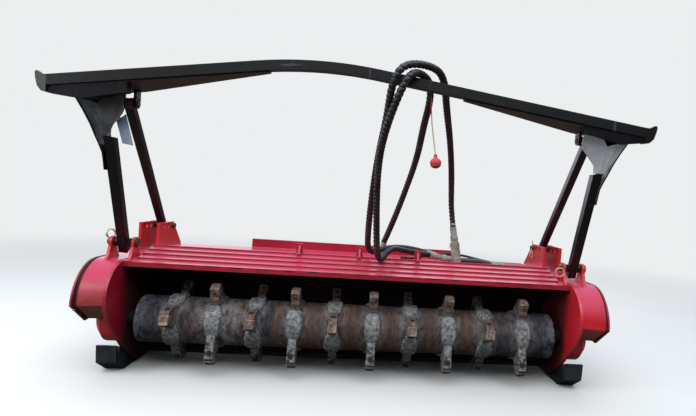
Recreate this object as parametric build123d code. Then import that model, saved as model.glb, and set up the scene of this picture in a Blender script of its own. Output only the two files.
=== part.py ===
from build123d import *
from math import atan2, cos, degrees, hypot, pi, radians, sin, tan
import os

# Sizes in millimetres. X is across the machine, -Y is its front, Z is up from the floor.

# The width that the rest follows
mouth_width = 1848.0
half_mouth = mouth_width / 2

# Rotor
drum_radius = 96.9
drum_length = mouth_width - 100.0
drum_wall = 18.0
tip_radius = 182.0
tip_to_floor = 33.0
station_count = 10
station_pitch = (drum_length - 285.5) / (station_count - 1)
arms_per_station = 3
even_station_angle = 12.0
odd_station_angle = 64.0
holder_width = 33.0
holder_foot_width = 58.0
holder_foot_height = 10.0
holder_foot_middle = 71.0
holder_ramp_angle = 50.0
tooth_width = 37.0
tooth_height = 38.0
tooth_thickness = 38.0
shaft_radius = 35.0
running_clearance = 0.08

# Housing
side_thickness = 12.0
lip_y = -108.0
lip_top = 250.0
lip_height = 20.0
step_count = 4
steps_half_width = half_mouth - 34.0
step_depth = 50.0
step_slope = 4.0
step_rise = 8.0
roof_thickness = 14.0
ridge_wall = 10.0
deck_top = 253.0
deck_thickness = 8.0
deck_rear = 590.0
hood_inner_radius = 215.0
hood_thickness = 8.0
side_rear = 545.0
cover_width = 112.0
rim_thickness = 7.0
cover_sheet = 5.0
bearing_housing_radius = 98.0
bearing_housing_length = 96.0
skid_width = 76.0
skid_thickness = 12.0
skid_front = -95.0
skid_rear = 360.0

# Quick-attach plate
attach_width = 1143.0
attach_height = 457.0
attach_thickness = 10.0
attach_top = 300.0
hook_reach = 46.0
hook_root = 6.0
ledge_reach = 58.0
ledge_thickness = 16.0
slot_spacing = 1035.0
slot_length = 41.0
slot_width = 28.6
rib_positions = (-520.0, -180.0, 180.0, 520.0)
rib_thickness = 12.0

# Push frame
bar_height = 35.0
bar_depth = 32.0
bar_wall = 4.0
bar_front = -430.0
bar_left_end_x = half_mouth + 129.0
bar_right_end_x = half_mouth + 96.0
bar_left_end_z = 884.0
bar_right_end_z = 881.0
bar_bend_x = -175.0
bar_bend_z = 1026.5
bar_bend_radius = 1500.0
bar_left_return = 62.0
bar_right_return = 70.0
bar_return_depth = 42.0
front_leg_size = 50.8
rear_leg_size = 44.5
leg_wall = 5.0
pin_radius = 12.5
front_pin_y = -40.0
front_pin_z = 318.0
front_leg_foot_x = half_mouth + 28.0
front_leg_top_x = half_mouth - 44.0
front_leg_top_y = -328.0
front_leg_top_z = 719.0
front_leg_toe = 45.0
ear_gap = 74.0
ear_thickness = 12.0
ear_top_radius = 19.0
rear_hole_y = (308.0, 354.0, 400.0)
rear_hole_z = 361.0
lug_front_y = 245.0
lug_foot_y = 205.0
lug_rear_y = 536.0
rear_leg_foot_x = half_mouth + 46.5
rear_leg_top_x = half_mouth - 64.0
rear_leg_top_y = -280.0
rear_leg_top_z = 850.0
rear_lug_gap = 69.0
rear_eye_radius = 20.0
gusset_thickness = 6.0
gusset_tip_x = 340.0
gusset_back = -252.0
end_beam_depth = 32.0
end_beam_inner_x = half_mouth - 122.0
end_beam_inner_z = 866.0
end_beam_low_x = half_mouth + 17.0
end_beam_low_z = 833.0
end_beam_tail_z = 844.0
notch_plate_y = -338.0
notch_plate_z = 822.0
hinge_ear_thickness = 9.0
wing_thickness = 6.0

# Hoses
hose_diameter = 25.0
drain_hose_diameter = 13.0
lanyard_diameter = 5.0
coupler_radius = 22.0
small_coupler_radius = 15.0
ferrule_radius = 16.0
ferrule_length = 42.0
cap_radius = 20.5

# Places that follow from the sizes
axis_z = tip_radius + tip_to_floor
front_reach = -bar_front
rear_reach = deck_rear + attach_thickness + ledge_reach
axis_y = (front_reach - rear_reach) / 2
inner_x = half_mouth
outer_x = inner_x + side_thickness
rim_x = outer_x + cover_width
floor_z = -axis_z
sides = (("left", -1), ("right", 1))
axis_point = Pos(0, axis_y, axis_z)

os.makedirs("parts", exist_ok=True)


def save(name, shape):
    """Write one sub-part, moved from the rotor-axis frame to the floor frame."""
    shape = axis_point * shape
    shape.label = name
    export_step(shape, f"parts/{name}.step")
    print(name, len(shape.solids()), round(shape.volume / 1000), "cm3")


def outline(points):
    """Closed face in the Y-Z plane from (y, z) corners."""
    return make_face(Plane.YZ * Polyline(*points, close=True))


def slab(face, x_low, x_high):
    """Extrude a Y-Z face between two X values."""
    return Pos(x_low, 0, 0) * extrude(face, amount=x_high - x_low, dir=(1, 0, 0))


def mirrored(shape, sign):
    """The shape itself on the right side, or its mirror image on the left."""
    if sign > 0:
        return shape
    return mirror(shape, about=Plane.YZ)


def rod_x(radius, x_low, x_high, y, z):
    """Round bar along X."""
    return Pos((x_low + x_high) / 2, y, z) * Rot(0, 90, 0) * Cylinder(radius, x_high - x_low)


def box_between(low, high):
    """Box from its lowest corner to its highest corner."""
    size = [h - l for l, h in zip(low, high)]
    centre = [(h + l) / 2 for l, h in zip(low, high)]
    return Pos(*centre) * Box(*size)


def along(start, end):
    """Plane at start whose normal points to end and whose x direction stays near +X."""
    axis = (Vector(*end) - Vector(*start)).normalized()
    across = (Vector(1, 0, 0) - axis * axis.X).normalized()
    return Plane(origin=start, x_dir=across, z_dir=axis)


def square_tube(start, end, size, wall):
    """Hollow square tube from start to end."""
    length = (Vector(*end) - Vector(*start)).length
    frame = along(start, end)
    outside = Pos(0, 0, length / 2) * Box(size, size, length)
    inside = Pos(0, 0, length / 2) * Box(size - 2 * wall, size - 2 * wall, length)
    return frame * (outside - inside)


# Side plates: a rounded nose in front of the lip, a slanted lower edge and a long rear part
nose_top = (lip_y, lip_top)
nose_front = (-226.0, 132.0)
nose_low = (-190.0, 20.0)
chin = (-68.0, -100.0)
toe = (60.0, -196.0)
heel = (330.0, -196.0)
side_edge = [
    ThreePointArc(nose_top, (-190.0, 204.0), nose_front),
    ThreePointArc(nose_front, (-219.0, 74.0), nose_low),
    Polyline(nose_low, chin, toe, heel, (side_rear, 40.0), (side_rear, deck_top), (110.0, deck_top), nose_top),
]
side_face = make_face([Plane.YZ * edge for edge in side_edge])

# End covers: rolled sheet box outside each side plate, as (where the roll starts, crease, low corner)
cover_inner = (-60.0, (-218.0, 96.0), (-110.0, 20.0))
cover_outer = (-50.0, (-210.0, 86.0), (-110.0, 16.0))
rim_form = (-48.0, (-220.0, 88.0), (-112.0, 8.0))


def cover_face(form, x, inset):
    """Outline of the cover at X: a flat top, a roll down to the crease, then the chamfer."""
    roll_y, crease, low = form
    rear = side_rear - 5
    rear_z = 60.0
    span_y = crease[0] - roll_y
    span_z = deck_top - crease[1]
    radius = (span_y ** 2 + span_z ** 2) / (2 * span_z)
    centre = (roll_y, deck_top - radius)
    length = hypot(low[0] - crease[0], low[1] - crease[1])
    run = ((low[0] - crease[0]) / length, (low[1] - crease[1]) / length)
    start = (crease[0] - run[1] * inset - centre[0], crease[1] + run[0] * inset - centre[1])
    half = start[0] * run[0] + start[1] * run[1]
    rest = start[0] ** 2 + start[1] ** 2 - (radius - inset) ** 2
    reach = -half - (half ** 2 - rest) ** 0.5
    corner = (centre[0] + start[0] + run[0] * reach, centre[1] + start[1] + run[1] * reach)
    middle = (pi / 2 + atan2(corner[1] - centre[1], corner[0] - centre[0]) % (2 * pi)) / 2
    on_roll = (centre[0] + (radius - inset) * cos(middle), centre[1] + (radius - inset) * sin(middle))
    top = deck_top - inset
    edges = [
        Line((rear - inset, top), (roll_y, top)),
        ThreePointArc((roll_y, top), on_roll, corner),
        Polyline(corner, (low[0] + 0.3 * inset, low[1] + inset), (rear - inset, rear_z + inset),
                 (rear - inset, top)),
    ]
    return Pos(x, 0, 0) * make_face([Plane.YZ * edge for edge in edges])


def cover_block(inset=0.0):
    """The cover's full form, or with an inset the room inside its sheet."""
    ends = [cover_face(cover_inner, outer_x, inset), cover_face(cover_outer, rim_x, inset)]
    return loft(ends, ruled=True)


def end_cover():
    """Hollow cover, open towards the side plate and closed by the rim plate outside."""
    return cover_block() - cover_block(cover_sheet)


def rim_plate():
    """Outer plate of the cover, standing a little proud of the sheet."""
    return extrude(cover_face(rim_form, rim_x, 0.0), amount=rim_thickness, dir=(1, 0, 0))


def front_deck():
    """Stepped front roof from the lip to the ridge, then the ridge's rear wall."""
    top = [(lip_y, lip_top - lip_height), (lip_y, lip_top)]
    y, z = lip_y, lip_top
    for _ in range(step_count):
        y, z = y + step_depth, z + step_slope
        top.append((y, z))
        z = z + step_rise
        top.append((y, z))
    ridge_y = y + ridge_wall
    top.append((ridge_y, z))
    top.append((ridge_y, deck_top - deck_thickness))
    top.append((y, deck_top - deck_thickness))
    top.append((y, z - roof_thickness))
    top.append((lip_y + ridge_wall, lip_top - roof_thickness))
    top.append((lip_y + ridge_wall, lip_top - lip_height))
    body = slab(outline(top), -steps_half_width, steps_half_width)
    for x_low, x_high in ((-inner_x, -steps_half_width), (steps_half_width, inner_x)):
        body += box_between((x_low, lip_y, deck_top - deck_thickness), (x_high, ridge_y, deck_top))
        body += box_between((x_low, lip_y, lip_top - lip_height), (x_high, lip_y + ridge_wall, deck_top))
    return body, ridge_y


deck_front, ridge_y = front_deck()
ridge_top = lip_top + step_count * (step_slope + step_rise)
hood_outer_radius = hood_inner_radius + hood_thickness


def polar(radius, angle):
    """Y-Z point on a circle round the rotor axis; 0 degrees is the rear."""
    return (radius * cos(radians(angle)), radius * sin(radians(angle)))


hood_front_y = 96.0
hood_turn = 30.0
hood_end = -45.0
hood_top_z = deck_top - deck_thickness


def hood_path(radius, top_y):
    """Edge of the hood at a radius, from the deck down to the shear bar."""
    start = (top_y, hood_top_z)
    return [
        Plane.YZ * Line(start, polar(radius, hood_turn)),
        Plane.YZ * ThreePointArc(polar(radius, hood_turn), polar(radius, -8.0), polar(radius, hood_end)),
    ]


def hood():
    """Curved rear wall of the rotor chamber."""
    inner = hood_path(hood_inner_radius, hood_front_y)
    outer = hood_path(hood_outer_radius, hood_front_y + hood_thickness)
    top = Plane.YZ * Line((hood_front_y, hood_top_z), (hood_front_y + hood_thickness, hood_top_z))
    end = Plane.YZ * Line(polar(hood_inner_radius, hood_end), polar(hood_outer_radius, hood_end))
    return slab(make_face([top] + outer + [end] + inner), -inner_x, inner_x)


def hood_core():
    """Everything that lies in front of the hood's rear face, used to trim the ribs."""
    outer = hood_path(hood_outer_radius, hood_front_y + hood_thickness)
    corners = [polar(hood_outer_radius, hood_end), (-300.0, -300.0), (-300.0, hood_top_z),
               (hood_front_y + hood_thickness, hood_top_z)]
    closing = Plane.YZ * Polyline(*corners)
    return slab(make_face(outer + [closing]), -inner_x - 1, inner_x + 1)


beam_y = (170.0, 300.0)
beam_z = (-178.0, -118.0)
shear_y = (142.0, 170.0)


def rear_beam():
    """Box beam across the bottom rear, which carries the shear bar."""
    outside = box_between((-inner_x, beam_y[0], beam_z[0]), (inner_x, beam_y[1], beam_z[1]))
    inside = box_between((-inner_x, beam_y[0] + 8, beam_z[0] + 8), (inner_x, beam_y[1] - 8, beam_z[1] - 8))
    return outside - inside - hood_core()


def shear_bar():
    """Fixed counter knife at the lower rear edge of the chamber."""
    return box_between((-inner_x, shear_y[0], -186.0), (inner_x, shear_y[1], -166.0))


motor_x = (684.0, inner_x)
motor_y = (250.0, 440.0)
motor_z = (40.0, 214.0)
motor_ports = ((716.0, 292.0), (726.0, 358.0), (768.0, 376.0))
port_boss = 16.0
deck_gusset_x = (-264.0, 4.0, 270.0)
deck_gusset_height = 44.0
motor_window = ((640.0, 236.0), (800.0, 400.0))


def rear_deck():
    """Flat deck behind the ridge, with a window over the motor's ports."""
    low = (-inner_x, ridge_y, deck_top - deck_thickness)
    high = (inner_x, deck_rear, deck_top)
    window_low = (motor_window[0][0], motor_window[0][1], low[2] - 1)
    window_high = (motor_window[1][0], motor_window[1][1], high[2] + 1)
    return box_between(low, high) - box_between(window_low, window_high)


def quick_attach():
    """Skid-steer mounting plate with its top hook and slotted bottom ledge."""
    bottom = attach_top - attach_height
    half = attach_width / 2
    face_y = deck_rear + attach_thickness
    plate = box_between((-half, deck_rear, bottom), (half, face_y, attach_top))
    hook = slab(outline([
        (face_y, attach_top), (face_y + hook_reach, attach_top - hook_reach),
        (face_y + hook_reach - 10, attach_top - hook_reach - 10),
        (face_y + hook_root, attach_top - 14 - hook_root), (face_y, attach_top - 14 - hook_root),
    ]), -half, half)
    ledge = box_between((-half, face_y, bottom), (half, face_y + ledge_reach, bottom + ledge_thickness))
    body = plate + hook + ledge
    for sign in (-1, 1):
        slot = SlotOverall(slot_length, slot_width)
        cutter = extrude(slot, amount=ledge_thickness + 4)
        body -= Pos(sign * slot_spacing / 2, face_y + 30.0, bottom - 2) * cutter
    return body


def mount_ribs():
    """Upright ribs from the hood back to the quick-attach plate."""
    bottom = attach_top - attach_height
    face = outline([
        (100.0, -112.0), (beam_y[1], -112.0), (deck_rear, bottom + 10),
        (deck_rear, hood_top_z), (100.0, hood_top_z),
    ])
    ribs = [slab(face, x - rib_thickness / 2, x + rib_thickness / 2) for x in rib_positions]
    return joined([rib - hood_core() for rib in ribs])


def skid():
    """Replaceable wear shoe outside the side plate, turned up at the front."""
    sole = [
        (skid_front, -96.0), (skid_front + 12, -96.0), (skid_front + 24, -150.0), (2.0, floor_z + skid_thickness),
        (skid_rear - 30, floor_z + skid_thickness), (skid_rear, floor_z + 40),
        (skid_rear + 10, floor_z + 30), (skid_rear - 20, floor_z), (-12.0, floor_z), (skid_front + 6, -166.0),
    ]
    web = [(-58.0, -106.0), (60.0, -150.0), (skid_rear - 40, -150.0), (skid_rear - 30, floor_z + skid_thickness),
           (2.0, floor_z + skid_thickness), (skid_front + 24, -150.0)]
    return slab(outline(sole), outer_x, outer_x + skid_width) + slab(outline(web), outer_x, outer_x + 12)


def bearing_housing():
    """Round housing of the rotor bearing, bored for the stub shaft."""
    body = rod_x(bearing_housing_radius, outer_x, outer_x + bearing_housing_length, 0, 0)
    bore = rod_x(shaft_radius + running_clearance, outer_x - 1, outer_x + bearing_housing_length - 12, 0, 0)
    return body - bore


def drum():
    """Rotor tube with closed ends and the stub shafts."""
    half = drum_length / 2
    tube = rod_x(drum_radius, -half, half, 0, 0)
    hollow = rod_x(drum_radius - drum_wall, -half + drum_wall, half - drum_wall, 0, 0)
    shaft_end = outer_x + bearing_housing_length - 16
    return tube - hollow + rod_x(shaft_radius, -shaft_end, -half, 0, 0) + rod_x(shaft_radius, half, shaft_end, 0, 0)


def holder_outline():
    """Side view of a tooth holder whose tip points along +Y, with its ramp behind it."""
    half = tooth_thickness / 2
    seat_r = tip_radius - tooth_height
    root = drum_radius - 4
    return [
        (root, -half - 8), (seat_r - 14, -half - 8), (seat_r - 2, -half), (seat_r - 2, half),
        (tip_radius - 6, half), (tip_radius - 10, half + 16), (drum_radius + 32, half + 34),
        (root * cos(radians(holder_ramp_angle)), root * sin(radians(holder_ramp_angle))),
    ]


def holder_foot():
    """Wide foot of a holder, wrapped round the drum from its ramp to the next arm."""
    outer = drum_radius + holder_foot_height
    middle = radians(holder_foot_middle)
    wide = holder_foot_width / 2
    plan = [(-16, -58), (-24, -46), (-wide, -22), (-wide, 20), (-20, 58),
            (20, 58), (wide, 20), (wide, -22), (24, -46), (16, -58)]
    frame = Plane(origin=(0, 0, 0), x_dir=(1, 0, 0), z_dir=(0, cos(middle), sin(middle)))
    prism = frame * extrude(make_face(Polyline(*plan, close=True)), amount=outer + 1)
    return prism & rod_x(outer, -wide, wide, 0, 0)


def arm_angles():
    """(x, angle) of every tooth; the angle is measured from the front, upwards."""
    places = []
    for station in range(station_count):
        x = (station - (station_count - 1) / 2) * station_pitch
        first = even_station_angle if station % 2 == 0 else odd_station_angle
        for arm in range(arms_per_station):
            places.append((x, first + arm * 360 / arms_per_station))
    return places


def turned(shape, angle):
    """Turn a shape built along +Y to the given angle from the front, upwards."""
    return Rot(180 - angle, 0, 0) * shape


def holders():
    """All tooth holders, each a waisted plate with a wide welded foot."""
    shapes = []
    blade = slab(outline(holder_outline()), -holder_width / 2, holder_width / 2)
    blade += holder_foot()
    blade -= rod_x(drum_radius, -holder_foot_width, holder_foot_width, 0, 0)
    for x, angle in arm_angles():
        shapes.append(Pos(x, 0, 0) * turned(mirror(blade, about=Plane.XY), angle))
    return shapes


def teeth():
    """Square cutting teeth, one on each holder's seat."""
    half = tooth_thickness / 2
    seat_r = tip_radius - tooth_height
    flat_r = (tip_radius ** 2 - half ** 2) ** 0.5
    block = box_between((-tooth_width / 2, seat_r - 2, -half), (tooth_width / 2, flat_r, half))
    return [Pos(x, 0, 0) * turned(block, angle) for x, angle in arm_angles()]


def joined(shapes):
    """One shape that holds every solid of the given shapes."""
    solids = []
    for shape in shapes:
        solids.extend(shape.solids())
    return Compound(solids)


def front_ears():
    """Round-topped ears that carry the front legs' pins."""
    shapes = []
    for side in (-1, 1):
        x_face = front_leg_foot_x + side * ear_gap / 2
        x_low = min(x_face, x_face + side * ear_thickness)
        low = deck_top if side < 0 else nose_front[1]
        body = outline([(front_pin_y - 34, low), (front_pin_y + 34, low),
                        (front_pin_y + ear_top_radius, front_pin_z), (front_pin_y - ear_top_radius, front_pin_z)])
        plate = slab(body, x_low, x_low + ear_thickness)
        plate += rod_x(ear_top_radius, x_low, x_low + ear_thickness, front_pin_y, front_pin_z)
        plate -= rod_x(pin_radius, x_low - 1, x_low + ear_thickness + 1, front_pin_y, front_pin_z)
        if side > 0:
            plate -= cover_block()
        shapes += [plate, mirrored(plate, -1)]
    return joined(shapes)


def rear_lugs():
    """Plates with the row of adjusting holes for the rear legs."""
    shapes = []
    top_z = rear_hole_z + 19
    last_y = rear_hole_y[-1] + 15
    face = outline([(lug_foot_y, deck_top), (lug_rear_y, deck_top), (lug_rear_y, deck_top + 10),
                    (last_y, top_z), (lug_front_y, top_z), (lug_front_y, deck_top + 12),
                    (lug_foot_y, deck_top + 4)])
    for side in (-1, 1):
        x_face = rear_leg_foot_x + side * rear_lug_gap / 2
        x_low = min(x_face, x_face + side * ear_thickness)
        plate = slab(face, x_low, x_low + ear_thickness)
        for y in rear_hole_y:
            plate -= rod_x(pin_radius, x_low - 1, x_low + ear_thickness + 1, y, rear_hole_z)
        shapes += [plate, mirrored(plate, -1)]
    return joined(shapes)


def front_leg():
    """Square tube from below its pin to the wing bracket, cut level and closed at the top."""
    foot = (front_leg_foot_x, front_pin_y, front_pin_z)
    top = (front_leg_top_x, front_leg_top_y, front_leg_top_z)
    frame = along(foot, top)
    length = (Vector(*top) - Vector(*foot)).length + 60
    middle = length / 2 - front_leg_toe
    hollow = front_leg_size - 2 * leg_wall
    outside = frame * (Pos(0, 0, middle) * Box(front_leg_size, front_leg_size, length))
    inside = frame * (Pos(0, 0, middle) * Box(hollow, hollow, length))
    reach = 300.0
    cut = (top[0] - reach, top[1] - reach, top[2])
    far = (top[0] + reach, top[1] + reach, top[2] + reach)
    outside -= box_between(cut, far)
    inside -= box_between((cut[0], cut[1], cut[2] - leg_wall), far)
    half = ear_gap / 2 - 1.0
    sleeve = rod_x(26, foot[0] - half, foot[0] + half, foot[1], foot[2])
    bore = rod_x(pin_radius + running_clearance, foot[0] - half - 1, foot[0] + half + 1, foot[1], foot[2])
    return outside - inside + sleeve - bore


def rear_leg():
    """Square tube brace from the wing's rear pin to the adjusting holes."""
    foot = (rear_leg_foot_x, rear_hole_y[-1], rear_hole_z)
    top = (rear_leg_top_x, rear_leg_top_y, rear_leg_top_z)
    axis = (Vector(*top) - Vector(*foot)).normalized()
    start = Vector(*foot) + axis * 12
    end = Vector(*top) - axis * 12
    tube = square_tube((start.X, start.Y, start.Z), (end.X, end.Y, end.Z), rear_leg_size, leg_wall)
    half = rear_leg_size / 2
    foot_half = rear_lug_gap / 2 - 4.5
    tube += rod_x(rear_eye_radius, foot[0] - foot_half, foot[0] + foot_half, foot[1], foot[2])
    tube += rod_x(rear_eye_radius, top[0] - half, top[0] + half, top[1], top[2])
    return tube - rod_x(pin_radius + running_clearance, top[0] - half - 6, top[0] + half + 6, top[1], top[2])


# Push bar: two straight arms joined by a long bend
bar_mid_y = bar_front + bar_depth / 2
bar_left = (-bar_left_end_x, bar_mid_y, bar_left_end_z)
bar_right = (bar_right_end_x, bar_mid_y, bar_right_end_z)
bar_bend = (bar_bend_x, bar_mid_y, bar_bend_z)


def bar_line():
    """Centre line of the bar in the plane of its front face."""
    return FilletPolyline(bar_left, bar_bend, bar_right, radius=bar_bend_radius)


def bar_section(shrink):
    """The bar's section at its left end, smaller all round by the given amount."""
    frame = Plane(origin=bar_left, x_dir=(0, 1, 0), z_dir=bar_line() % 0)
    return frame * Rectangle(bar_depth - 2 * shrink, bar_height - 2 * shrink)


def push_bar():
    """Rectangular tube swept along the bent centre line."""
    path = bar_line()
    return sweep(bar_section(0), path=path) - sweep(bar_section(bar_wall), path=path)


# Outline of a bar end: share of its reach and height above the bar's centre line
bar_end_form = [(0.0, 17.7), (0.35, 19.0), (0.82, 34.0), (0.95, 33.0), (1.0, 28.0), (0.94, 11.0),
                (0.75, -17.0), (0.4, -35.0), (0.1, -39.0), (0.0, -40.0)]


def bar_ends():
    """Ends of the bar, bent back and outwards, taller than the bar itself."""
    shapes = []
    back = bar_front + bar_depth
    for sign, (x, _, z), reach in ((-1, bar_left, bar_left_return), (1, bar_right, bar_right_return)):
        tip_y = bar_front + bar_return_depth
        plan = [(x, bar_front), (x + sign * reach, tip_y), (x + sign * (reach - 4), tip_y + 8), (x, back)]
        flat = extrude(make_face(Polyline(*plan, close=True)), amount=120, dir=(0, 0, 1))
        front = [(x + sign * share * reach, 0, z + rise) for share, rise in bar_end_form]
        shape = extrude(make_face(Polyline(*front, close=True)), amount=120, dir=(0, 1, 0))
        shape = (Pos(0, 0, z - 60) * flat) & (Pos(0, bar_front - 20, 0) * shape)
        shapes.append(shape - sweep(bar_section(0), path=bar_line()))
    return joined(shapes)


def bar_end_x(sign):
    """X of the end of one arm."""
    return bar_right[0] if sign > 0 else bar_left[0]


def bar_z(x):
    """Height of the bar's centre line at X on its straight arms."""
    end = bar_right if x > bar_bend_x else bar_left
    share = (x - bar_bend_x) / (end[0] - bar_bend_x)
    return bar_bend_z + (end[2] - bar_bend_z) * share


def under_bar(sign):
    """X, Z and slope in degrees of the line on which a gusset's top face lies."""
    end_x = bar_end_x(sign) - sign * 4
    tip_x = sign * gusset_tip_x
    slope = degrees(atan2(bar_z(end_x) - bar_z(tip_x), end_x - tip_x))
    if sign < 0:
        slope -= 180
    z = bar_z(tip_x) - bar_height / 2 / cos(radians(slope))
    return tip_x, z, slope


def under_z(sign, x):
    """Height of a gusset's underside at X."""
    tip_x, z, slope = under_bar(sign)
    return z + (x - tip_x) * tan(radians(slope)) - gusset_thickness / cos(radians(slope))


def gusset(sign):
    """Flat plate under one arm, widening from near the middle to the leg."""
    back_y = bar_front + bar_depth
    end_x = bar_end_x(sign) - sign * 4
    tip_x, z, slope = under_bar(sign)
    plan = [
        (tip_x, bar_front + 6), (end_x, bar_front + 6), (end_x, back_y + 34),
        (sign * (rear_leg_top_x + 125), gusset_back), (sign * (rear_leg_top_x - 45), gusset_back), (tip_x, back_y),
    ]
    sheet = extrude(make_face(Polyline(*plan, close=True)), amount=-gusset_thickness, dir=(0, 0, 1))
    placed = Pos(tip_x, 0, z) * Rot(0, -slope, 0) * Pos(-tip_x, 0, 0) * sheet
    return placed - sweep(bar_section(0), path=bar_line())


def end_beam(sign):
    """Short beam under a gusset out to the arm's end, with the plate behind the wing's notch."""
    front = bar_front + 6
    tail_x = abs(bar_end_x(sign))
    corners = [
        (sign * end_beam_inner_x, 0, under_z(sign, sign * end_beam_inner_x)),
        (sign * tail_x, 0, under_z(sign, sign * tail_x)), (sign * tail_x, 0, end_beam_tail_z),
        (sign * end_beam_low_x, 0, end_beam_low_z), (sign * end_beam_inner_x, 0, end_beam_inner_z),
    ]
    beam = extrude(make_face(Polyline(*corners, close=True)), amount=end_beam_depth, dir=(0, 1, 0))
    inner = front_leg_top_x - 35
    outer = front_leg_top_x + 95
    plate = [
        (sign * inner, 0, under_z(sign, sign * inner)), (sign * outer, 0, under_z(sign, sign * outer)),
        (sign * outer, 0, notch_plate_z + 14), (sign * (outer - 40), 0, notch_plate_z),
        (sign * inner, 0, notch_plate_z),
    ]
    sheet = extrude(make_face(Polyline(*plate, close=True)), amount=gusset_thickness, dir=(0, 1, 0))
    return joined([Pos(0, front, 0) * beam, Pos(0, notch_plate_y, 0) * sheet])


def hinge_ears():
    """Ears under the gussets that hold the rear legs' upper pins."""
    shapes = []
    for sign in (-1, 1):
        for side in (-1, 1):
            x_face = rear_leg_top_x + side * (rear_leg_size / 2 + 4)
            x_low = min(x_face, x_face + side * hinge_ear_thickness)
            ear_top = under_z(sign, sign * (x_low + hinge_ear_thickness))
            ear = box_between((x_low, rear_leg_top_y - 20, rear_leg_top_z),
                              (x_low + hinge_ear_thickness, rear_leg_top_y + 18, ear_top))
            ear += rod_x(18, x_low, x_low + hinge_ear_thickness, rear_leg_top_y, rear_leg_top_z)
            ear -= rod_x(pin_radius, x_low - 1, x_low + hinge_ear_thickness + 1, rear_leg_top_y, rear_leg_top_z)
            shapes.append(mirrored(ear, sign))
    return joined(shapes)


def flat_sheet(anchors, corners, thickness):
    """Plate in the plane of three anchor points; its corners are given by X and Z."""
    origin, second, third = (Vector(*p) for p in anchors)
    normal = (second - origin).cross(third - origin).normalized()
    points = []
    for x, z in corners:
        y = origin.Y - ((x - origin.X) * normal.X + (z - origin.Z) * normal.Z) / normal.Y
        points.append((x, y, z))
    face = make_face(Polyline(*points, close=True))
    return extrude(face, amount=thickness, dir=tuple(normal if normal.Y > 0 else -normal))


def wing():
    """Folded bracket from the end beam down to the top of the front leg."""
    leg = front_leg_top_x
    foot_z = front_leg_top_z
    notch = (leg + 28, bar_front + 46, foot_z + 107)
    low = (leg + 8, front_leg_top_y - 22, foot_z)
    outer_x_top = leg + 100
    slope = (end_beam_tail_z - end_beam_low_z) / (abs(bar_end_x(-1)) - end_beam_low_x)
    outer_z_top = end_beam_low_z + slope * (outer_x_top - end_beam_low_x)
    outer = flat_sheet((notch, low, (outer_x_top, bar_front + 30, outer_z_top)),
                       ((notch[0], notch[2]), (end_beam_low_x, end_beam_low_z), (outer_x_top, outer_z_top),
                        (leg + 38, foot_z), (low[0], foot_z)), wing_thickness)
    inner = flat_sheet((notch, low, (leg - 46, -352, foot_z + 139)),
                       ((notch[0], notch[2]), (low[0], foot_z), (leg - 4, foot_z), (leg - 2, foot_z + 24),
                        (leg - 54, foot_z + 87), (leg - 46, foot_z + 139), (leg + 24, foot_z + 123)),
                       wing_thickness)
    return outer + inner


def front_pins():
    """Headed pins through the front legs' ears, each with a ring clip at its inner end."""
    half = ear_gap / 2 + ear_thickness
    x = front_leg_foot_x
    pin = rod_x(pin_radius, x - half - 14, x + half, front_pin_y, front_pin_z)
    pin += rod_x(pin_radius + 7, x + half, x + half + 8, front_pin_y, front_pin_z)
    pin += Pos(x - half - 7, front_pin_y, front_pin_z - 18) * Rot(0, 90, 0) * Torus(18, 2.5)
    return joined([pin, mirrored(pin, -1)])


def rear_pins():
    """The ends of the rear legs' lower pins, in the rearmost holes."""
    x = rear_leg_foot_x
    y = rear_hole_y[-1]
    inner = x - rear_lug_gap / 2
    outer = x + rear_lug_gap / 2
    stub = rod_x(pin_radius, inner - ear_thickness - 16, inner, y, rear_hole_z)
    stub += Pos(inner - ear_thickness - 8, y, rear_hole_z - 18) * Rot(0, 90, 0) * Torus(18, 2.5)
    head = rod_x(pin_radius, outer, outer + ear_thickness, y, rear_hole_z)
    head += rod_x(pin_radius + 7, outer + ear_thickness, outer + ear_thickness + 8, y, rear_hole_z)
    return joined([stub, head, mirrored(stub, -1), mirrored(head, -1)])


def upper_pins():
    """Pins through the hinge ears and the rear legs' upper eyes."""
    half = rear_leg_size / 2 + 4 + hinge_ear_thickness
    x = rear_leg_top_x
    pin = rod_x(pin_radius, x - half - 3, x + half + 6, rear_leg_top_y, rear_leg_top_z)
    return joined([pin, mirrored(pin, -1)])


def motor():
    """Hydraulic motor as one plain block, with two port bosses on top."""
    body = box_between((motor_x[0], motor_y[0], motor_z[0]), (motor_x[1], motor_y[1], motor_z[1]))
    for x, y in motor_ports:
        body += Pos(x, y, motor_z[1] + port_boss / 2) * Cylinder(19, port_boss)
    return body


def deck_gusset(x):
    """Small triangular stop on the ridge: an upright plate with a leaning leaf."""
    top = ridge_top + deck_gusset_height
    upright = slab(outline([(ridge_y - 40, ridge_top), (ridge_y - 1, ridge_top), (ridge_y - 1, top)]), x, x + 8)
    leaf = box_between((x - 10, ridge_y - 9, ridge_top), (x + 18, ridge_y - 1, top))
    return upright + leaf


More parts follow.
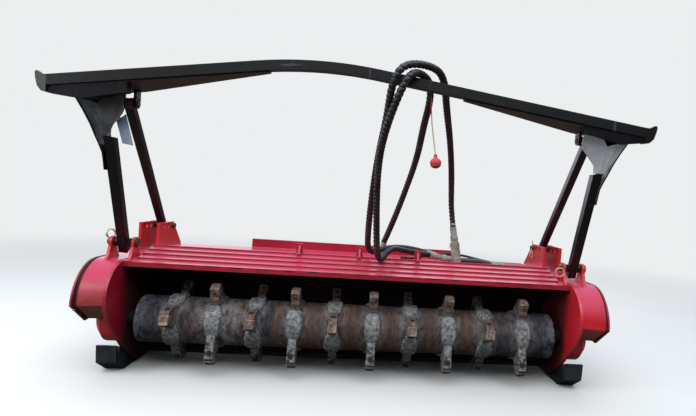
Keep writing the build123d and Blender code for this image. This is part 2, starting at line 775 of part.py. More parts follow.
# Hoses: corners of each route, as (x, y, z) from the rotor axis
return_coupler_low = (501.0, 322.0, 272.0)
return_coupler_top = (466.0, 302.0, 452.0)
pressure_coupler_low = (110.0, 275.0, 270.0)
pressure_coupler_top = (123.0, 250.0, 359.0)
return_route = [
    (345.0, 352.0, 306.0), (262.0, 305.0, 331.0), (140.0, 232.0, 336.0), (44.0, 160.0, 300.0),
    (38.0, 44.0, 448.0), (46.0, -90.0, 644.0), (56.0, -230.0, 758.0), (72.0, -360.0, 866.0),
    (77.0, -468.0, 976.0), (118.0, -478.0, 1040.0), (232.0, -406.0, 1052.0), (276.0, -345.0, 1020.0),
    (306.0, -235.0, 942.0), (351.0, -100.0, 843.0), (395.0, 60.0, 728.0), (436.0, 250.0, 618.0),
    (448.0, 292.0, 545.0), return_coupler_top,
]
pressure_route = [
    (352.0, 288.0, 303.0), (232.0, 215.0, 322.0), (146.0, 108.0, 348.0), (87.0, -8.0, 274.0),
    (66.0, -90.0, 490.0), (54.0, -240.0, 699.0), (67.0, -380.0, 817.0), (111.0, -473.0, 958.0),
    (148.0, -470.0, 1018.0), (218.0, -372.0, 1014.0), (230.0, -328.0, 950.0), (224.0, -210.0, 868.0),
    (223.0, -60.0, 752.0), (190.0, 80.0, 596.0), (155.0, 180.0, 461.0), pressure_coupler_top,
]
front_motor_route = [
    (520.0, 385.0, 270.0), (575.0, 392.0, 270.0), (625.0, 378.0, 272.0), (662.0, 345.0, 269.0),
    (690.0, 318.0, 266.0),
]
rear_motor_route = [
    (400.0, 388.0, 290.0), (440.0, 410.0, 276.0), (520.0, 432.0, 270.0), (600.0, 430.0, 270.0),
    (660.0, 405.0, 270.0), (696.0, 380.0, 266.0),
]
drain_route = [
    (262.0, 372.0, 268.0), (310.0, 388.0, 276.0), (390.0, 412.0, 290.0), (470.0, 470.0, 296.0),
    (560.0, 486.0, 290.0), (640.0, 462.0, 276.0), (700.0, 430.0, 268.0), (742.0, 396.0, 264.0),
]
lanyard_route = [
    (222.0, -411.0, bar_z(222.0) - bar_height / 2 - 1), (223.0, -407.0, 912.0), (232.0, -398.0, 855.0),
    (243.0, -388.0, 800.0), (256.0, -381.0, 742.0),
]


def cord(name, route, diameter):
    """Round hose along straight runs joined by the largest tangent arcs that fit."""
    points = [Vector(*p) for p in route]
    radii = []
    for before, corner, after in zip(points, points[1:], points[2:]):
        turn = (corner - before).get_angle(after - corner)
        reach = 0.45 * min((corner - before).length, (after - corner).length)
        radii.append(reach / tan(radians(turn / 2)))
    path = FilletPolyline(*points, radius=radii)
    start = points[0]
    first = (points[1] - points[0]).normalized()
    across = first.cross(Vector(0, 0, 1) if abs(first.Z) < 0.9 else Vector(1, 0, 0))
    frame = Plane(origin=start, x_dir=across, z_dir=first)
    tube = sweep(frame * Circle(diameter / 2), path=path)
    full = pi * diameter ** 2 / 4 * path.length
    print(name, "radii", [round(r) for r in radii], "volume share", round(tube.volume / full, 4))
    return tube


def on_line(start, end, pieces):
    """Round pieces one after another from start towards end, given as (radius, length)."""
    frame = along(start, end)
    body = None
    reach = 0.0
    for radius, length in pieces:
        piece = frame * (Pos(0, 0, reach + length / 2) * Cylinder(radius, length))
        body = piece if body is None else body + piece
        reach += length
    return body


def span(start, end):
    return (Vector(*end) - Vector(*start)).length


def return_coupler():
    """Crimp sleeve, swivel nut and push-on coupler on the return hose."""
    length = span(return_coupler_top, return_coupler_low)
    return on_line(return_coupler_top, return_coupler_low,
                   [(ferrule_radius, 50.0), (19.0, 22.0), (17.0, 12.0), (coupler_radius, length - 84.0)])


def pressure_coupler():
    """Crimp sleeve and slim coupler on the pressure hose."""
    length = span(pressure_coupler_top, pressure_coupler_low)
    return on_line(pressure_coupler_top, pressure_coupler_low,
                   [(ferrule_radius - 1.5, 30.0), (small_coupler_radius + 1, length - 30.0)])


def adaptors():
    """Crimp sleeves and straight adaptors between the long hoses and the motor hoses."""
    shapes = []
    for start, end in ((pressure_route[0], front_motor_route[0]), (return_route[0], rear_motor_route[0])):
        rest = span(start, end) - 2 * ferrule_length
        if rest > 60:
            pieces = [(ferrule_radius, ferrule_length), (12.0, rest / 2 - 14), (17.0, 28.0),
                      (12.0, rest / 2 - 14), (ferrule_radius, ferrule_length)]
        else:
            pieces = [(ferrule_radius, span(start, end) / 2 - 8), (18.0, 16.0),
                      (ferrule_radius, span(start, end) / 2 - 8)]
        shapes.append(on_line(start, end, pieces))
    return joined(shapes)


def port_elbows():
    """Elbow fittings from the motor's ports to its three hoses."""
    shapes = []
    for (x, y), route, radius in zip(motor_ports, (front_motor_route, rear_motor_route, drain_route),
                                     (13.0, 13.0, 8.0)):
        z = route[-1][2]
        base = Pos(x, y, (motor_z[1] + port_boss + z) / 2) * Cylinder(radius, z - motor_z[1] - port_boss)
        ball = Pos(x, y, z) * Sphere(radius)
        shapes.append(base + ball + on_line(route[-1], (x, y, z), [(radius + 2, span(route[-1], (x, y, z)))]))
    return joined(shapes)


def drain_coupler():
    """Small capped coupler on the free end of the drain hose."""
    start = Vector(*drain_route[0])
    end = start + (start - Vector(*drain_route[1])).normalized() * 46
    return on_line(drain_route[0], (end.X, end.Y, drain_route[0][2]), [(9.5, 16.0), (13.0, 28.0)])


def dust_cap():
    """Round red cap on its cord."""
    x, y, z = lanyard_route[-1]
    body = Pos(x, y, z - 6) * Cylinder(7, 12)
    body += Pos(x, y, z - 12 - cap_radius * 0.8) * Sphere(cap_radius)
    return body


for name, sign in sides:
    save(f"side_plate_{name}", mirrored(
        slab(side_face, inner_x, outer_x) - rod_x(shaft_radius + 5, inner_x - 1, outer_x + 1, 0, 0), sign))
    save(f"end_cover_{name}", mirrored(
        end_cover() - rod_x(bearing_housing_radius, outer_x - 1, outer_x + bearing_housing_length, 0, 0), sign))
    save(f"cover_rim_{name}", mirrored(rim_plate(), sign))
    save(f"bearing_housing_{name}", mirrored(bearing_housing(), sign))
    save(f"skid_{name}", mirrored(skid(), sign))
    save(f"front_leg_{name}", mirrored(front_leg(), sign))
    save(f"rear_leg_{name}", mirrored(rear_leg(), sign))
    save(f"wing_bracket_{name}", mirrored(wing(), sign) - end_beam(sign))
    save(f"bar_gusset_{name}", gusset(sign))
    save(f"end_beam_{name}", end_beam(sign))

save("front_deck", deck_front)
save("hood", hood())
save("rear_deck", rear_deck())
save("rear_beam", rear_beam())
save("shear_bar", shear_bar())
save("quick_attach_plate", quick_attach())
save("mount_ribs", mount_ribs())
save("drum", drum())
save("tooth_holders", joined(holders()))
save("cutting_teeth", joined(teeth()))
save("push_bar", push_bar())
save("bar_ends", bar_ends())
save("hydraulic_motor", motor())
save("deck_gussets", joined([deck_gusset(x) for x in deck_gusset_x]))
save("front_ears", front_ears())
save("rear_lugs", rear_lugs())
save("hinge_ears", hinge_ears())
save("front_pins", front_pins())
save("rear_pins", rear_pins())
save("upper_pins", upper_pins())
save("return_hose", cord("return_hose", return_route, hose_diameter))
save("pressure_hose", cord("pressure_hose", pressure_route, hose_diameter))
save("front_motor_hose", cord("front_motor_hose", front_motor_route, hose_diameter))
save("rear_motor_hose", cord("rear_motor_hose", rear_motor_route, hose_diameter))
save("drain_hose", cord("drain_hose", drain_route, drain_hose_diameter))
save("cap_lanyard", cord("cap_lanyard", lanyard_route, lanyard_diameter))
save("return_coupler", return_coupler())
save("pressure_coupler", pressure_coupler())
save("drain_coupler", drain_coupler())
save("hose_adaptors", adaptors())
save("port_elbows", port_elbows())
save("dust_cap", dust_cap())
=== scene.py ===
import math
import random

import bmesh
import bpy
from mathutils import Matrix, Vector, noise


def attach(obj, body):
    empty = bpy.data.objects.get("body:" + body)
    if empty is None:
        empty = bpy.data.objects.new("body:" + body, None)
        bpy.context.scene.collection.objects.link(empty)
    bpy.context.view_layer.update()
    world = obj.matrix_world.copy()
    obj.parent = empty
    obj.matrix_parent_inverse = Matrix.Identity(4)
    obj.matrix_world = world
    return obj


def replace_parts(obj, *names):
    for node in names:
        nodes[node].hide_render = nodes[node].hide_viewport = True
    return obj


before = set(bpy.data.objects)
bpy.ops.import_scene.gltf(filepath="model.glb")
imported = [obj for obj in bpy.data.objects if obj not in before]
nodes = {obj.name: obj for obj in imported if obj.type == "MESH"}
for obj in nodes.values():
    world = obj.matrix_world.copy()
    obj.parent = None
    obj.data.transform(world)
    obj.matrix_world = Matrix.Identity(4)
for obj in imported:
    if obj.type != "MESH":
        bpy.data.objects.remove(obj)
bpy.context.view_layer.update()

rotorAxis = Vector((0.0, -0.114, 0.215))
xAxis, yAxis, zAxis = Vector((1, 0, 0)), Vector((0, 1, 0)), Vector((0, 0, 1))
stationPitch = 162.5  # mm between the rows of teeth
dice = random.Random(11)
print("frame loaded:", len(nodes), "nodes")


def at(x, y, z):
    # a point given in mm from the middle of the rotor's axis, as the build source gives it
    return rotorAxis + Vector((x, y, z)) / 1000


def tint(code):
    # "#rrggbb" as linear colour
    parts = [int(code[i:i + 2], 16) / 255 for i in (1, 3, 5)]
    return tuple([c / 12.92 if c <= 0.04045 else ((c + 0.055) / 1.055) ** 2.4 for c in parts] + [1.0])


class Wire:
    # an output socket; arithmetic on it adds Math nodes

    def __init__(self, coat, socket):
        self.coat = coat
        self.socket = socket

    def math(self, kind, *values):
        return self.coat.node("ShaderNodeMath", {"operation": kind}, dict(enumerate(values)))

    def __add__(self, other):
        return self.math("ADD", self, other)

    def __radd__(self, other):
        return self.math("ADD", other, self)

    def __sub__(self, other):
        return self.math("SUBTRACT", self, other)

    def __rsub__(self, other):
        return self.math("SUBTRACT", other, self)

    def __mul__(self, other):
        return self.math("MULTIPLY", self, other)

    def __pow__(self, other):
        return self.math("POWER", self, other)

    def most(self, other):
        return self.math("MAXIMUM", self, other)

    def size(self):
        return self.math("ABSOLUTE", self)

    def fraction(self):
        return self.math("FRACT", self)

    def step(self, low, high):
        # 0 below low, 1 above high, smooth between; low may be the greater one
        return self.coat.node("ShaderNodeMapRange", {"interpolation_type": "SMOOTHSTEP", "clamp": True},
                              {0: self, 1: low, 2: high, 3: 0.0, 4: 1.0})


class Coat:
    # the nodes of one material, or of the given owner

    def __init__(self, name, owner=None):
        self.owner = owner or bpy.data.materials.new(name)
        self.owner.use_nodes = True
        self.tree = self.owner.node_tree
        self.tree.nodes.clear()
        if not owner:
            self.place = self.node("ShaderNodeTexCoord", out="Object")
            self.facing = self.node("ShaderNodeNewGeometry", out="Normal")

    def node(self, kind, settings=None, values=None, out=0):
        made = self.tree.nodes.new(kind)
        for key, value in (settings or {}).items():
            setattr(made, key, value)
        for key, value in (values or {}).items():
            if isinstance(value, Wire):
                self.tree.links.new(value.socket, made.inputs[key])
            else:
                made.inputs[key].default_value = value
        return Wire(self, made.outputs[out]) if len(made.outputs) else None

    def part(self, vector, letter):
        return self.node("ShaderNodeSeparateXYZ", None, {0: vector}, "XYZ".index(letter))

    def spread(self, stretch, shift):
        scaled = self.node("ShaderNodeVectorMath", {"operation": "MULTIPLY"}, {0: self.place, 1: stretch})
        return self.node("ShaderNodeVectorMath", {"operation": "ADD"}, {0: scaled, 1: (shift, shift * 0.7, -shift)})

    def cloud(self, scale, detail=4.0, rough=0.55, stretch=(1.0, 1.0, 1.0), shift=0.0, twist=0.0):
        return self.node("ShaderNodeTexNoise", {"noise_dimensions": "3D"},
                         {"Vector": self.spread(stretch, shift), "Scale": scale, "Detail": detail,
                          "Roughness": rough, "Distortion": twist})

    def grains(self, scale, shift):
        return self.node("ShaderNodeTexVoronoi", None, {"Vector": self.spread((1.0, 1.0, 1.0), shift), "Scale": scale})

    def mix(self, share, first, second):
        return self.node("ShaderNodeMix", {"data_type": "RGBA"}, {0: share, 6: first, 7: second}, 2)

    def edge(self, radius, gain):
        soft = self.node("ShaderNodeBevel", {"samples": 6}, {"Radius": radius})
        match = self.node("ShaderNodeVectorMath", {"operation": "DOT_PRODUCT"}, {0: soft, 1: self.facing}, 1)
        return ((1.0 - match) * gain).step(0.0, 1.0)

    def shade(self, colour, roughness, metallic=0.0, height=None, bump=0.2, depth=0.001, bevel=0.0012, coat=None,
              fixed=None):
        # height feeds a bump of the given strength and depth in m; bevel is the radius in m of softened edges
        values = {"Base Color": colour, "Roughness": roughness, "Metallic": metallic}
        if bevel:
            values["Normal"] = self.node("ShaderNodeBevel", {"samples": 4}, {"Radius": bevel})
        if height is not None:
            relief = {"Strength": bump, "Distance": depth, "Height": height}
            if bevel:
                relief["Normal"] = values["Normal"]
            values["Normal"] = self.node("ShaderNodeBump", None, relief)
        if coat is not None:
            values["Coat Weight"] = coat
        return self.node("ShaderNodeBsdfPrincipled", None, {**values, **(fixed or {})})

    def finish(self, shader, kind="ShaderNodeOutputMaterial"):
        self.node(kind, None, {"Surface": shader})
        return self.owner


# Red paint of the housing: brown dust fades out between dirtLow and dirtHigh, heights in m; the inside of the mouth
# is darkened as painted shade, upward faces take a painted sky reflection, and covers a painted shade in their rim gap
redLook = {"fresh": "#b01a38", "litDeep": "#c01c28", "litScarlet": "#e02a38", "fadedAndSheen": "#cc4066", "deep": "#930f26",
           "dust": "#87543c", "mud": "#5f3a2b", "bare": "#b98a78", "rust": "#5a2c1c", "mouthShade": "#160909",
           "seamShade": "#2a070c"}


def redPaint(name, dust=0.25, dirtLow=0.0, dirtHigh=0.14, mouthShade=0.0, wear=0.6, glow=0.35, seamShade=False, fresh="fresh"):
    c = Coat(name)
    height = c.part(c.place, "Z")
    upward = c.part(c.facing, "Z")
    broad = c.cloud(3.1, 5, 0.6, shift=2.0)
    fine = c.cloud(38.0, 6, 0.65, shift=5.0)
    # painted light: the right-hand side is painted a lighter red, standing in for the stronger light that falls on it
    shade = "litDeep" if fresh == "litScarlet" else "deep"
    base = c.mix(broad.step(0.3, 0.72), tint(redLook[shade]), tint(redLook[fresh]))
    # painted sky reflection: upward faces are lightened towards pink; a few random spots are faded paint
    base = c.mix(upward.step(0.1, 0.95) * glow + fine.step(0.55, 0.9) * 0.1, base, tint(redLook["fadedAndSheen"]))
    low = height.step(dirtHigh, dirtLow) * (0.45 + broad.step(0.35, 0.6) * 0.55)
    film = (fine.step(0.42, 0.78) * c.cloud(9.0, 5, 0.7, shift=8.0).step(0.4, 0.75)) * dust
    dirtAndShade = film.most(low * fine.step(0.12, 0.6))
    base = c.mix(dirtAndShade, base, c.mix(fine.step(0.3, 0.7), tint(redLook["mud"]), tint(redLook["dust"])))
    rub = c.edge(0.004, 3.0) * c.cloud(26.0, 5, 0.7, shift=3.0).step(0.5 - 0.2 * wear, 0.7) * wear
    base = c.mix(rub, base, tint(redLook["bare"]))
    nick = c.grains(95.0, shift=4.0).step(0.09, 0.05) * c.cloud(14.0, 3, 0.6, shift=9.0).step(0.56, 0.7)
    base = c.mix(nick * 0.7, base, tint(redLook["rust"]))
    scratch = c.cloud(60.0, 3, 0.7, (0.08, 1.0, 1.0), 6.0).step(0.66, 0.74) * broad.step(0.45, 0.7)
    base = c.mix(scratch * 0.35, base, tint(redLook["bare"]))
    # painted shade: the inside of the mouth, behind the lip, is painted dark towards the back
    if mouthShade:
        deep = (c.part(c.place, "Y") + broad * 0.03).step(-0.222, -0.15) * mouthShade
        base = c.mix(deep, base, tint(redLook["mouthShade"]))
        dirtAndShade = dirtAndShade.most(deep)
    # painted shade: a dark band in the gap between each cover and its rim
    if seamShade:
        across = c.part(c.place, "X")
        gap = across.step(-1.030, -1.037).most(across.step(1.0415, 1.0435))
        base = c.mix(gap, base, tint(redLook["seamShade"]))
        dirtAndShade = dirtAndShade.most(gap)
    rough = 0.30 + dirtAndShade * 0.42 + rub * 0.2 + fine * 0.1
    gloss = {"Coat Roughness": 0.2, "Specular IOR Level": 0.3 if seamShade else 0.5}
    return c.finish(c.shade(base, rough, 0.0, fine * 0.35 + broad * 0.6 - nick * 0.6, 0.22, 0.0012, 0.0018,
                            (1.0 - dirtAndShade.most(rub)) * 0.45, gloss))


blackLook = {"deep": "#050507", "mid": "#0c0e14", "dust": "#4a4945", "bare": "#626878", "grassReflection": "#242a18",
             "roomReflection": "#9a9aa6"}


def blackPaint(name, dust=0.35, gloss=0.36, wear=0.4, under=0.0, shine=0.35, roomReflection=0.0):
    c = Coat(name)
    upward = c.part(c.facing, "Z")
    broad = c.cloud(5.0, 5, 0.6, shift=1.0)
    fine = c.cloud(70.0, 5, 0.7, shift=3.0)
    base = c.mix(broad.step(0.3, 0.75), tint(blackLook["deep"]), tint(blackLook["mid"]))
    film = upward.step(0.1, 1.0) * fine.step(0.35, 0.8) * dust
    base = c.mix(film, base, tint(blackLook["dust"]))
    # painted reflection: downward faces are tinted olive, a reflection of grass
    if under:
        base = c.mix(upward.step(-0.25, -0.8) * (broad * 0.4 + 0.6) * under, base, tint(blackLook["grassReflection"]))
    if roomReflection:
        # painted reflection of the bright room: the inner faces of the right legs are paler towards the top
        inner = c.part(c.facing, "X").step(-0.7, -0.95) * c.part(c.place, "X").step(0.5, 0.7)
        inner = inner * (c.part(c.place, "Z") + broad * 0.2).step(0.72, 1.12) * roomReflection
        base = c.mix(inner, base, tint(blackLook["roomReflection"]))
    scuff = c.cloud(34.0, 4, 0.75, (0.12, 1.0, 1.0), 7.0).step(0.62, 0.72) * broad.step(0.42, 0.6) * wear
    streak = c.cloud(44.0, 4, 0.75, (1.0, 1.0, 0.08), 4.0).step(0.6, 0.72) * broad.step(0.36, 0.55) * wear
    rub = (c.edge(0.003, 3.0) * fine.step(0.5, 0.75) * wear).most(scuff.most(streak) * 0.5)
    base = c.mix(rub, base, tint(blackLook["bare"]))
    return c.finish(c.shade(base, gloss + film * 0.4 + fine * 0.12, 0.0, fine * 0.4 + broad * 0.5, 0.18, 0.001, 0.0016,
                     0.12 - film * 0.12, {"Coat Roughness": 0.3, "Specular IOR Level": shine}))


steelLook = {"pale": "#9a9c9c", "blue": "#464d5c", "dark": "#15181f", "rust": "#5f4a41", "deepRust": "#3a2b26",
             "tan": "#a08c7a", "sand": "#b3aca0"}


def drumSteel():
    c = Coat("drum_steel")
    x = c.part(c.place, "X")
    ring = c.cloud(1.0, 5, 0.65, (5.0, 1.2, 1.2), 3.0, 0.4)
    lines = c.cloud(1.0, 5, 0.7, (260.0, 6.0, 6.0), 9.0)
    fine = c.cloud(150.0, 5, 0.75, shift=4.0)
    patch = c.cloud(46.0, 5, 0.7, (1.0, 0.5, 0.5), 6.0)
    speck = c.grains(170.0, shift=2.0).step(0.36, 0.12)
    rust = c.mix(patch.step(0.3, 0.7), tint(steelLook["deepRust"]), tint(steelLook["rust"]))
    rust = c.mix(fine.step(0.62, 0.8) * 0.5, rust, tint("#7d6a5e"))
    blue = c.mix(patch.step(0.34, 0.68), tint(steelLook["dark"]), tint(steelLook["blue"]))
    ends = x.size().step(0.6, 0.84)
    base = c.mix((ring.step(0.5, 0.62) * 0.8).most(ends * 0.9), rust, blue)
    # grinding dust lies round the feet of the holders, thickest beside the second one
    gap = (x * (1000 / stationPitch) + 10.0).fraction()
    near = (gap - 0.5).size().step(0.42, 0.16)
    left = (x + 0.54).step(0.12, 0.02) * (x + 0.68).step(0.0, 0.1)
    grey = (near * 0.55).most(left * 0.8) * patch.step(0.36, 0.62)
    base = c.mix(grey, base, c.mix(fine.step(0.35, 0.7), tint("#5c626b"), tint("#9ca0a4")))
    base = c.mix(speck * fine.step(0.42, 0.7) * 0.6, base, tint(steelLook["pale"]))
    score = lines.step(0.58, 0.74)
    base = c.mix(score * 0.45, base, tint(steelLook["tan"]))
    # the stub shafts beyond the drum's ends are nearly black
    base = c.mix(x.size().step(0.8735, 0.8745), base, tint("#0a0809"))
    height = fine + lines * 0.8 + patch * 0.8 - speck * 0.4
    return c.finish(c.shade(base, 0.6 + fine * 0.25 - score * 0.15, 0.35, height, 0.6, 0.0022, 0.003))


def holderSteel():
    c = Coat("holder_steel")
    y = c.part(c.place, "Y") - rotorAxis.y
    z = c.part(c.place, "Z") - rotorAxis.z
    reach = (y * y + z * z) ** 0.5
    fine = c.cloud(160.0, 5, 0.75, shift=1.0)
    broad = c.cloud(62.0, 5, 0.7, shift=6.0)
    speck = c.grains(190.0, shift=7.0).step(0.36, 0.12)
    foot = c.mix((broad * 0.6 + fine * 0.4).step(0.38, 0.62), tint("#44474d"), tint("#a3a4a3"))
    foot = c.mix(speck * 0.5, foot, tint(steelLook["dark"]))
    high = c.mix(broad.step(0.38, 0.62), tint("#4b3c36"), tint("#79695f"))
    low = c.mix(broad.step(0.4, 0.6), tint("#24272d"), tint("#8a8c8d"))
    arm = c.mix(z.step(-0.02, 0.07), low, high)
    arm = c.mix(fine.step(0.56, 0.8) * 0.7, arm, tint(steelLook["dark"]))
    base = c.mix((reach + broad * 0.02).step(0.118, 0.142), foot, arm)
    rub = c.edge(0.003, 3.0) * fine.step(0.35, 0.65)
    base = c.mix(rub * 0.7, base, tint(steelLook["sand"]))
    return c.finish(c.shade(base, 0.6 + fine * 0.2 - rub * 0.2, 0.35, fine + broad - speck * 0.5, 0.6, 0.0024, 0.004))


def toothSteel():
    c = Coat("tooth_face_steel")
    fine = c.cloud(180.0, 5, 0.7, shift=2.0)
    broad = c.cloud(55.0, 5, 0.7, shift=5.0)
    base = c.mix(broad.step(0.35, 0.65), tint("#5a4840"), tint("#98867a"))
    base = c.mix(fine.step(0.55, 0.8) * 0.8, base, tint("#3a2c27"))
    rub = c.edge(0.0026, 3.5) * fine.step(0.3, 0.6)
    base = c.mix(rub * 0.8, base, tint("#c6c0b6"))
    return c.finish(c.shade(base, 0.55 + fine * 0.2 - rub * 0.2, 0.35, fine + broad, 0.5, 0.0018, 0.0016))


def plainSteel(name, first, second, rust=0.3, rough=0.5, metal=0.6, grain=90.0):
    c = Coat(name)
    broad = c.cloud(12.0, 4, 0.6, shift=4.0)
    fine = c.cloud(grain, 5, 0.7, shift=2.0)
    base = c.mix(broad.step(0.32, 0.68), tint(first), tint(second))
    base = c.mix(fine.step(0.5, 0.78) * rust, base, tint(steelLook["rust"]))
    rub = c.edge(0.0025, 3.0) * fine.step(0.35, 0.65)
    base = c.mix(rub * 0.5, base, tint(steelLook["pale"]))
    return c.finish(c.shade(base, rough + fine * 0.2, metal, fine + broad * 0.5, 0.3, 0.001, 0.001))


def hoseRubber(name, first="#121317", second="#292b33", rough=0.4):
    c = Coat(name)
    fine = c.cloud(120.0, 5, 0.7, shift=4.0)
    broad = c.cloud(14.0, 4, 0.6, shift=2.0)
    base = c.mix(broad.step(0.35, 0.7), tint(first), tint(second))
    film = fine.step(0.52, 0.8) * broad.step(0.4, 0.65)
    base = c.mix(film * 0.4, base, tint("#5d5b56"))
    return c.finish(c.shade(base, rough + film * 0.25, 0.0, fine, 0.25, 0.0008, 0.0))


def lanyardYarn():
    c = Coat("lanyard_yarn")
    fine = c.cloud(260.0, 4, 0.7, shift=3.0)
    high = c.part(c.place, "Z").step(1.085, 1.105)
    pale = c.mix(fine.step(0.35, 0.7), tint("#b8b095"), tint("#ddd6bd"))
    base = c.mix(high, pale, c.mix(fine.step(0.35, 0.7), tint("#8f1a20"), tint("#c23a3c")))
    return c.finish(c.shade(base, 0.75 + fine * 0.15, 0.0, fine, 0.4, 0.0008, 0.0))


def capRubber():
    c = Coat("dust_cap_rubber")
    fine = c.cloud(120.0, 5, 0.7, shift=3.0)
    broad = c.cloud(40.0, 4, 0.6, shift=6.0)
    base = c.mix(broad.step(0.3, 0.7), tint("#a5262c"), tint("#d0444a"))
    base = c.mix(fine.step(0.6, 0.8) * 0.5, base, tint("#7e5148"))
    return c.finish(c.shade(base, 0.5 + fine * 0.2, 0.0, fine + broad, 0.3, 0.001, 0.0))


coats = {
    "deck": redPaint("red_deck", 0.15, -1.0, -0.9, 0.0, 0.8, 0.75),
    "cover": redPaint("red_cover", 0.12, 0.285, 0.40, 0.0, 0.8, 0.75, seamShade=True),
    # painted light: the right cover is a lighter red copy of the cover paint
    "coverRight": redPaint("red_cover_right", 0.12, 0.2, 0.34, 0.0, 0.8, 0.9, seamShade=True, fresh="litScarlet"),
    # the left cheek: painted shade inside the mouth
    "cheek": redPaint("red_cheek", 0.35, 0.02, 0.2, 0.85, 1.0, 0.1),
    # painted light: the right cheek is a lighter red copy, with painted shade inside the mouth
    "brightCheek": redPaint("red_cheek_right", 0.3, 0.0, 0.12, 0.85, 1.0, 0.3, fresh="litScarlet"),
    # painted light: the lugs, housings and welds take the lighter red too
    "ear": redPaint("red_ear", 0.2, -1.0, -0.9, 0.0, 0.8, 0.5, fresh="litScarlet"),
    "rim": redPaint("red_rim", 0.3, 0.1, 0.36, 0.0, 0.7, 0.0, fresh="deep"),
    # the hood's inside: nearly all painted shade
    "inside": redPaint("red_inside", 0.6, 0.1, 0.5, 0.97, 0.3, 0.0),
    "plate": redPaint("red_plate", 0.5, 0.02, 0.3, 0.0, 0.8, 0.2),
    # the bar's undersides carry the painted olive grass reflection
    "bar": blackPaint("black_bar", 0.2, 0.42, 0.9, 0.9, 0.28),
    "beam": blackPaint("black_beam", 0.1, 0.6, 0.2, 0.0, 0.15),
    # the right legs' inner faces get the painted reflection
    "leg": blackPaint("black_leg", 0.25, 0.38, 0.7, 0.0, 0.3, 0.8),
    # painted reflection: the wings are one black-painted sheet in two copies; the right one's pale grey is a painted
    # sky reflection, the left one is a darker grey
    "wingLeft": plainSteel("wing_grey_left", "#3c3c41", "#6a6b73", 0.06, 0.45, 0.2, 60.0),
    "wingRight": plainSteel("wing_sky_reflection_right", "#b6b6c2", "#d2d2dc", 0.03, 0.4, 0.15, 60.0),
    "drum": drumSteel(),
    "holder": holderSteel(),
    "tooth": toothSteel(),
    "skid": plainSteel("skid_steel", "#22262d", "#3c424c", 0.3, 0.45, 0.5, 60.0),
    "zinc": plainSteel("zinc_fitting", "#848c86", "#b3bdb2", 0.2, 0.5, 0.1, 80.0),
    "sleeve": plainSteel("pale_sleeve", "#8d9186", "#bac2b2", 0.2, 0.55, 0.05, 80.0),
    "clip": plainSteel("clip_wire", "#9a9384", "#cfc9bb", 0.15, 0.35, 0.6, 90.0),
    "pin": plainSteel("pin_steel", "#3a2c28", "#6c5046", 0.6, 0.55, 0.45, 80.0),
    "rustPin": plainSteel("rusty_pin", "#5c3c30", "#8d6250", 0.5, 0.7, 0.1, 80.0),
    "darkSteel": plainSteel("dark_steel", "#1c1d20", "#35373b", 0.25, 0.5, 0.5, 70.0),
    # painted shade: the nuts and their seats are painted near black for the shade of the recesses they sit in
    "recessShade": plainSteel("bolt_recess_shade", "#0d0b0b", "#1d1815", 0.3, 0.7, 0.2, 90.0),
    # painted shade for the gaps along the lip
    "slitShade": plainSteel("slit_shade", "#2a060c", "#4a0d18", 0.3, 0.7, 0.0, 90.0),
    "tag": plainSteel("tag_strip", "#77839a", "#8f9bb0", 0.03, 0.5, 0.2, 50.0),
    "hose": hoseRubber("hose_guard"),
    "smallHose": hoseRubber("hose_cover", "#0e0e10", "#26282c", 0.42),
    "yarn": lanyardYarn(),
    "cap": capRubber(),
    "tie": plainSteel("pale_tie", "#b9b594", "#dedbc2", 0.05, 0.6, 0.0, 90.0),
}
print("materials made:", len(coats))

nodeCoats = {
    "cheek": "side_plate_left", "brightCheek": "side_plate_right", "cover": "end_cover_left",
    "coverRight": "end_cover_right", "rim": "cover_rim_left cover_rim_right", "inside": "hood",
    "ear": "bearing_housing_left bearing_housing_right front_ears rear_lugs", "skid": "skid_left skid_right",
    "deck": "front_deck rear_deck deck_gussets", "plate": "rear_beam quick_attach_plate mount_ribs",
    "darkSteel": "shear_bar hydraulic_motor drain_coupler", "pin": "front_pins rear_pins", "rustPin": "upper_pins",
    "drum": "drum", "holder": "tooth_holders", "tooth": "cutting_teeth",
    "bar": "push_bar bar_ends bar_gusset_left bar_gusset_right", "beam": "end_beam_left end_beam_right",
    "wingLeft": "wing_bracket_left", "wingRight": "wing_bracket_right",
    "leg": "hinge_ears front_leg_left front_leg_right rear_leg_left rear_leg_right",
    "zinc": "return_coupler pressure_coupler hose_adaptors port_elbows",
}
for coat, names in nodeCoats.items():
    for name in names.split():
        slots = nodes[name].data.materials
        for index in range(len(slots)):
            slots[index] = coats[coat]
        if not len(slots):
            slots.append(coats[coat])
print("frame painted")


def newMesh(name, shape, coat, body, smooth=True):
    mesh = bpy.data.meshes.new(name)
    mesh.from_pydata([tuple(v) for v in shape.verts], [], shape.faces)
    work = bmesh.new()
    work.from_mesh(mesh)
    bmesh.ops.recalc_face_normals(work, faces=work.faces)
    work.to_mesh(mesh)
    work.free()
    for face in mesh.polygons:
        face.use_smooth = smooth
    mesh.materials.append(coats[coat])
    made = bpy.data.objects.new(name, mesh)
    bpy.context.scene.collection.objects.link(made)
    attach(made, body)
    return made


def circle(middle, across, other, radius, count):
    return [middle + (across * math.cos(a) + other * math.sin(a)) * radius
            for a in [2 * math.pi * k / count for k in range(count)]]


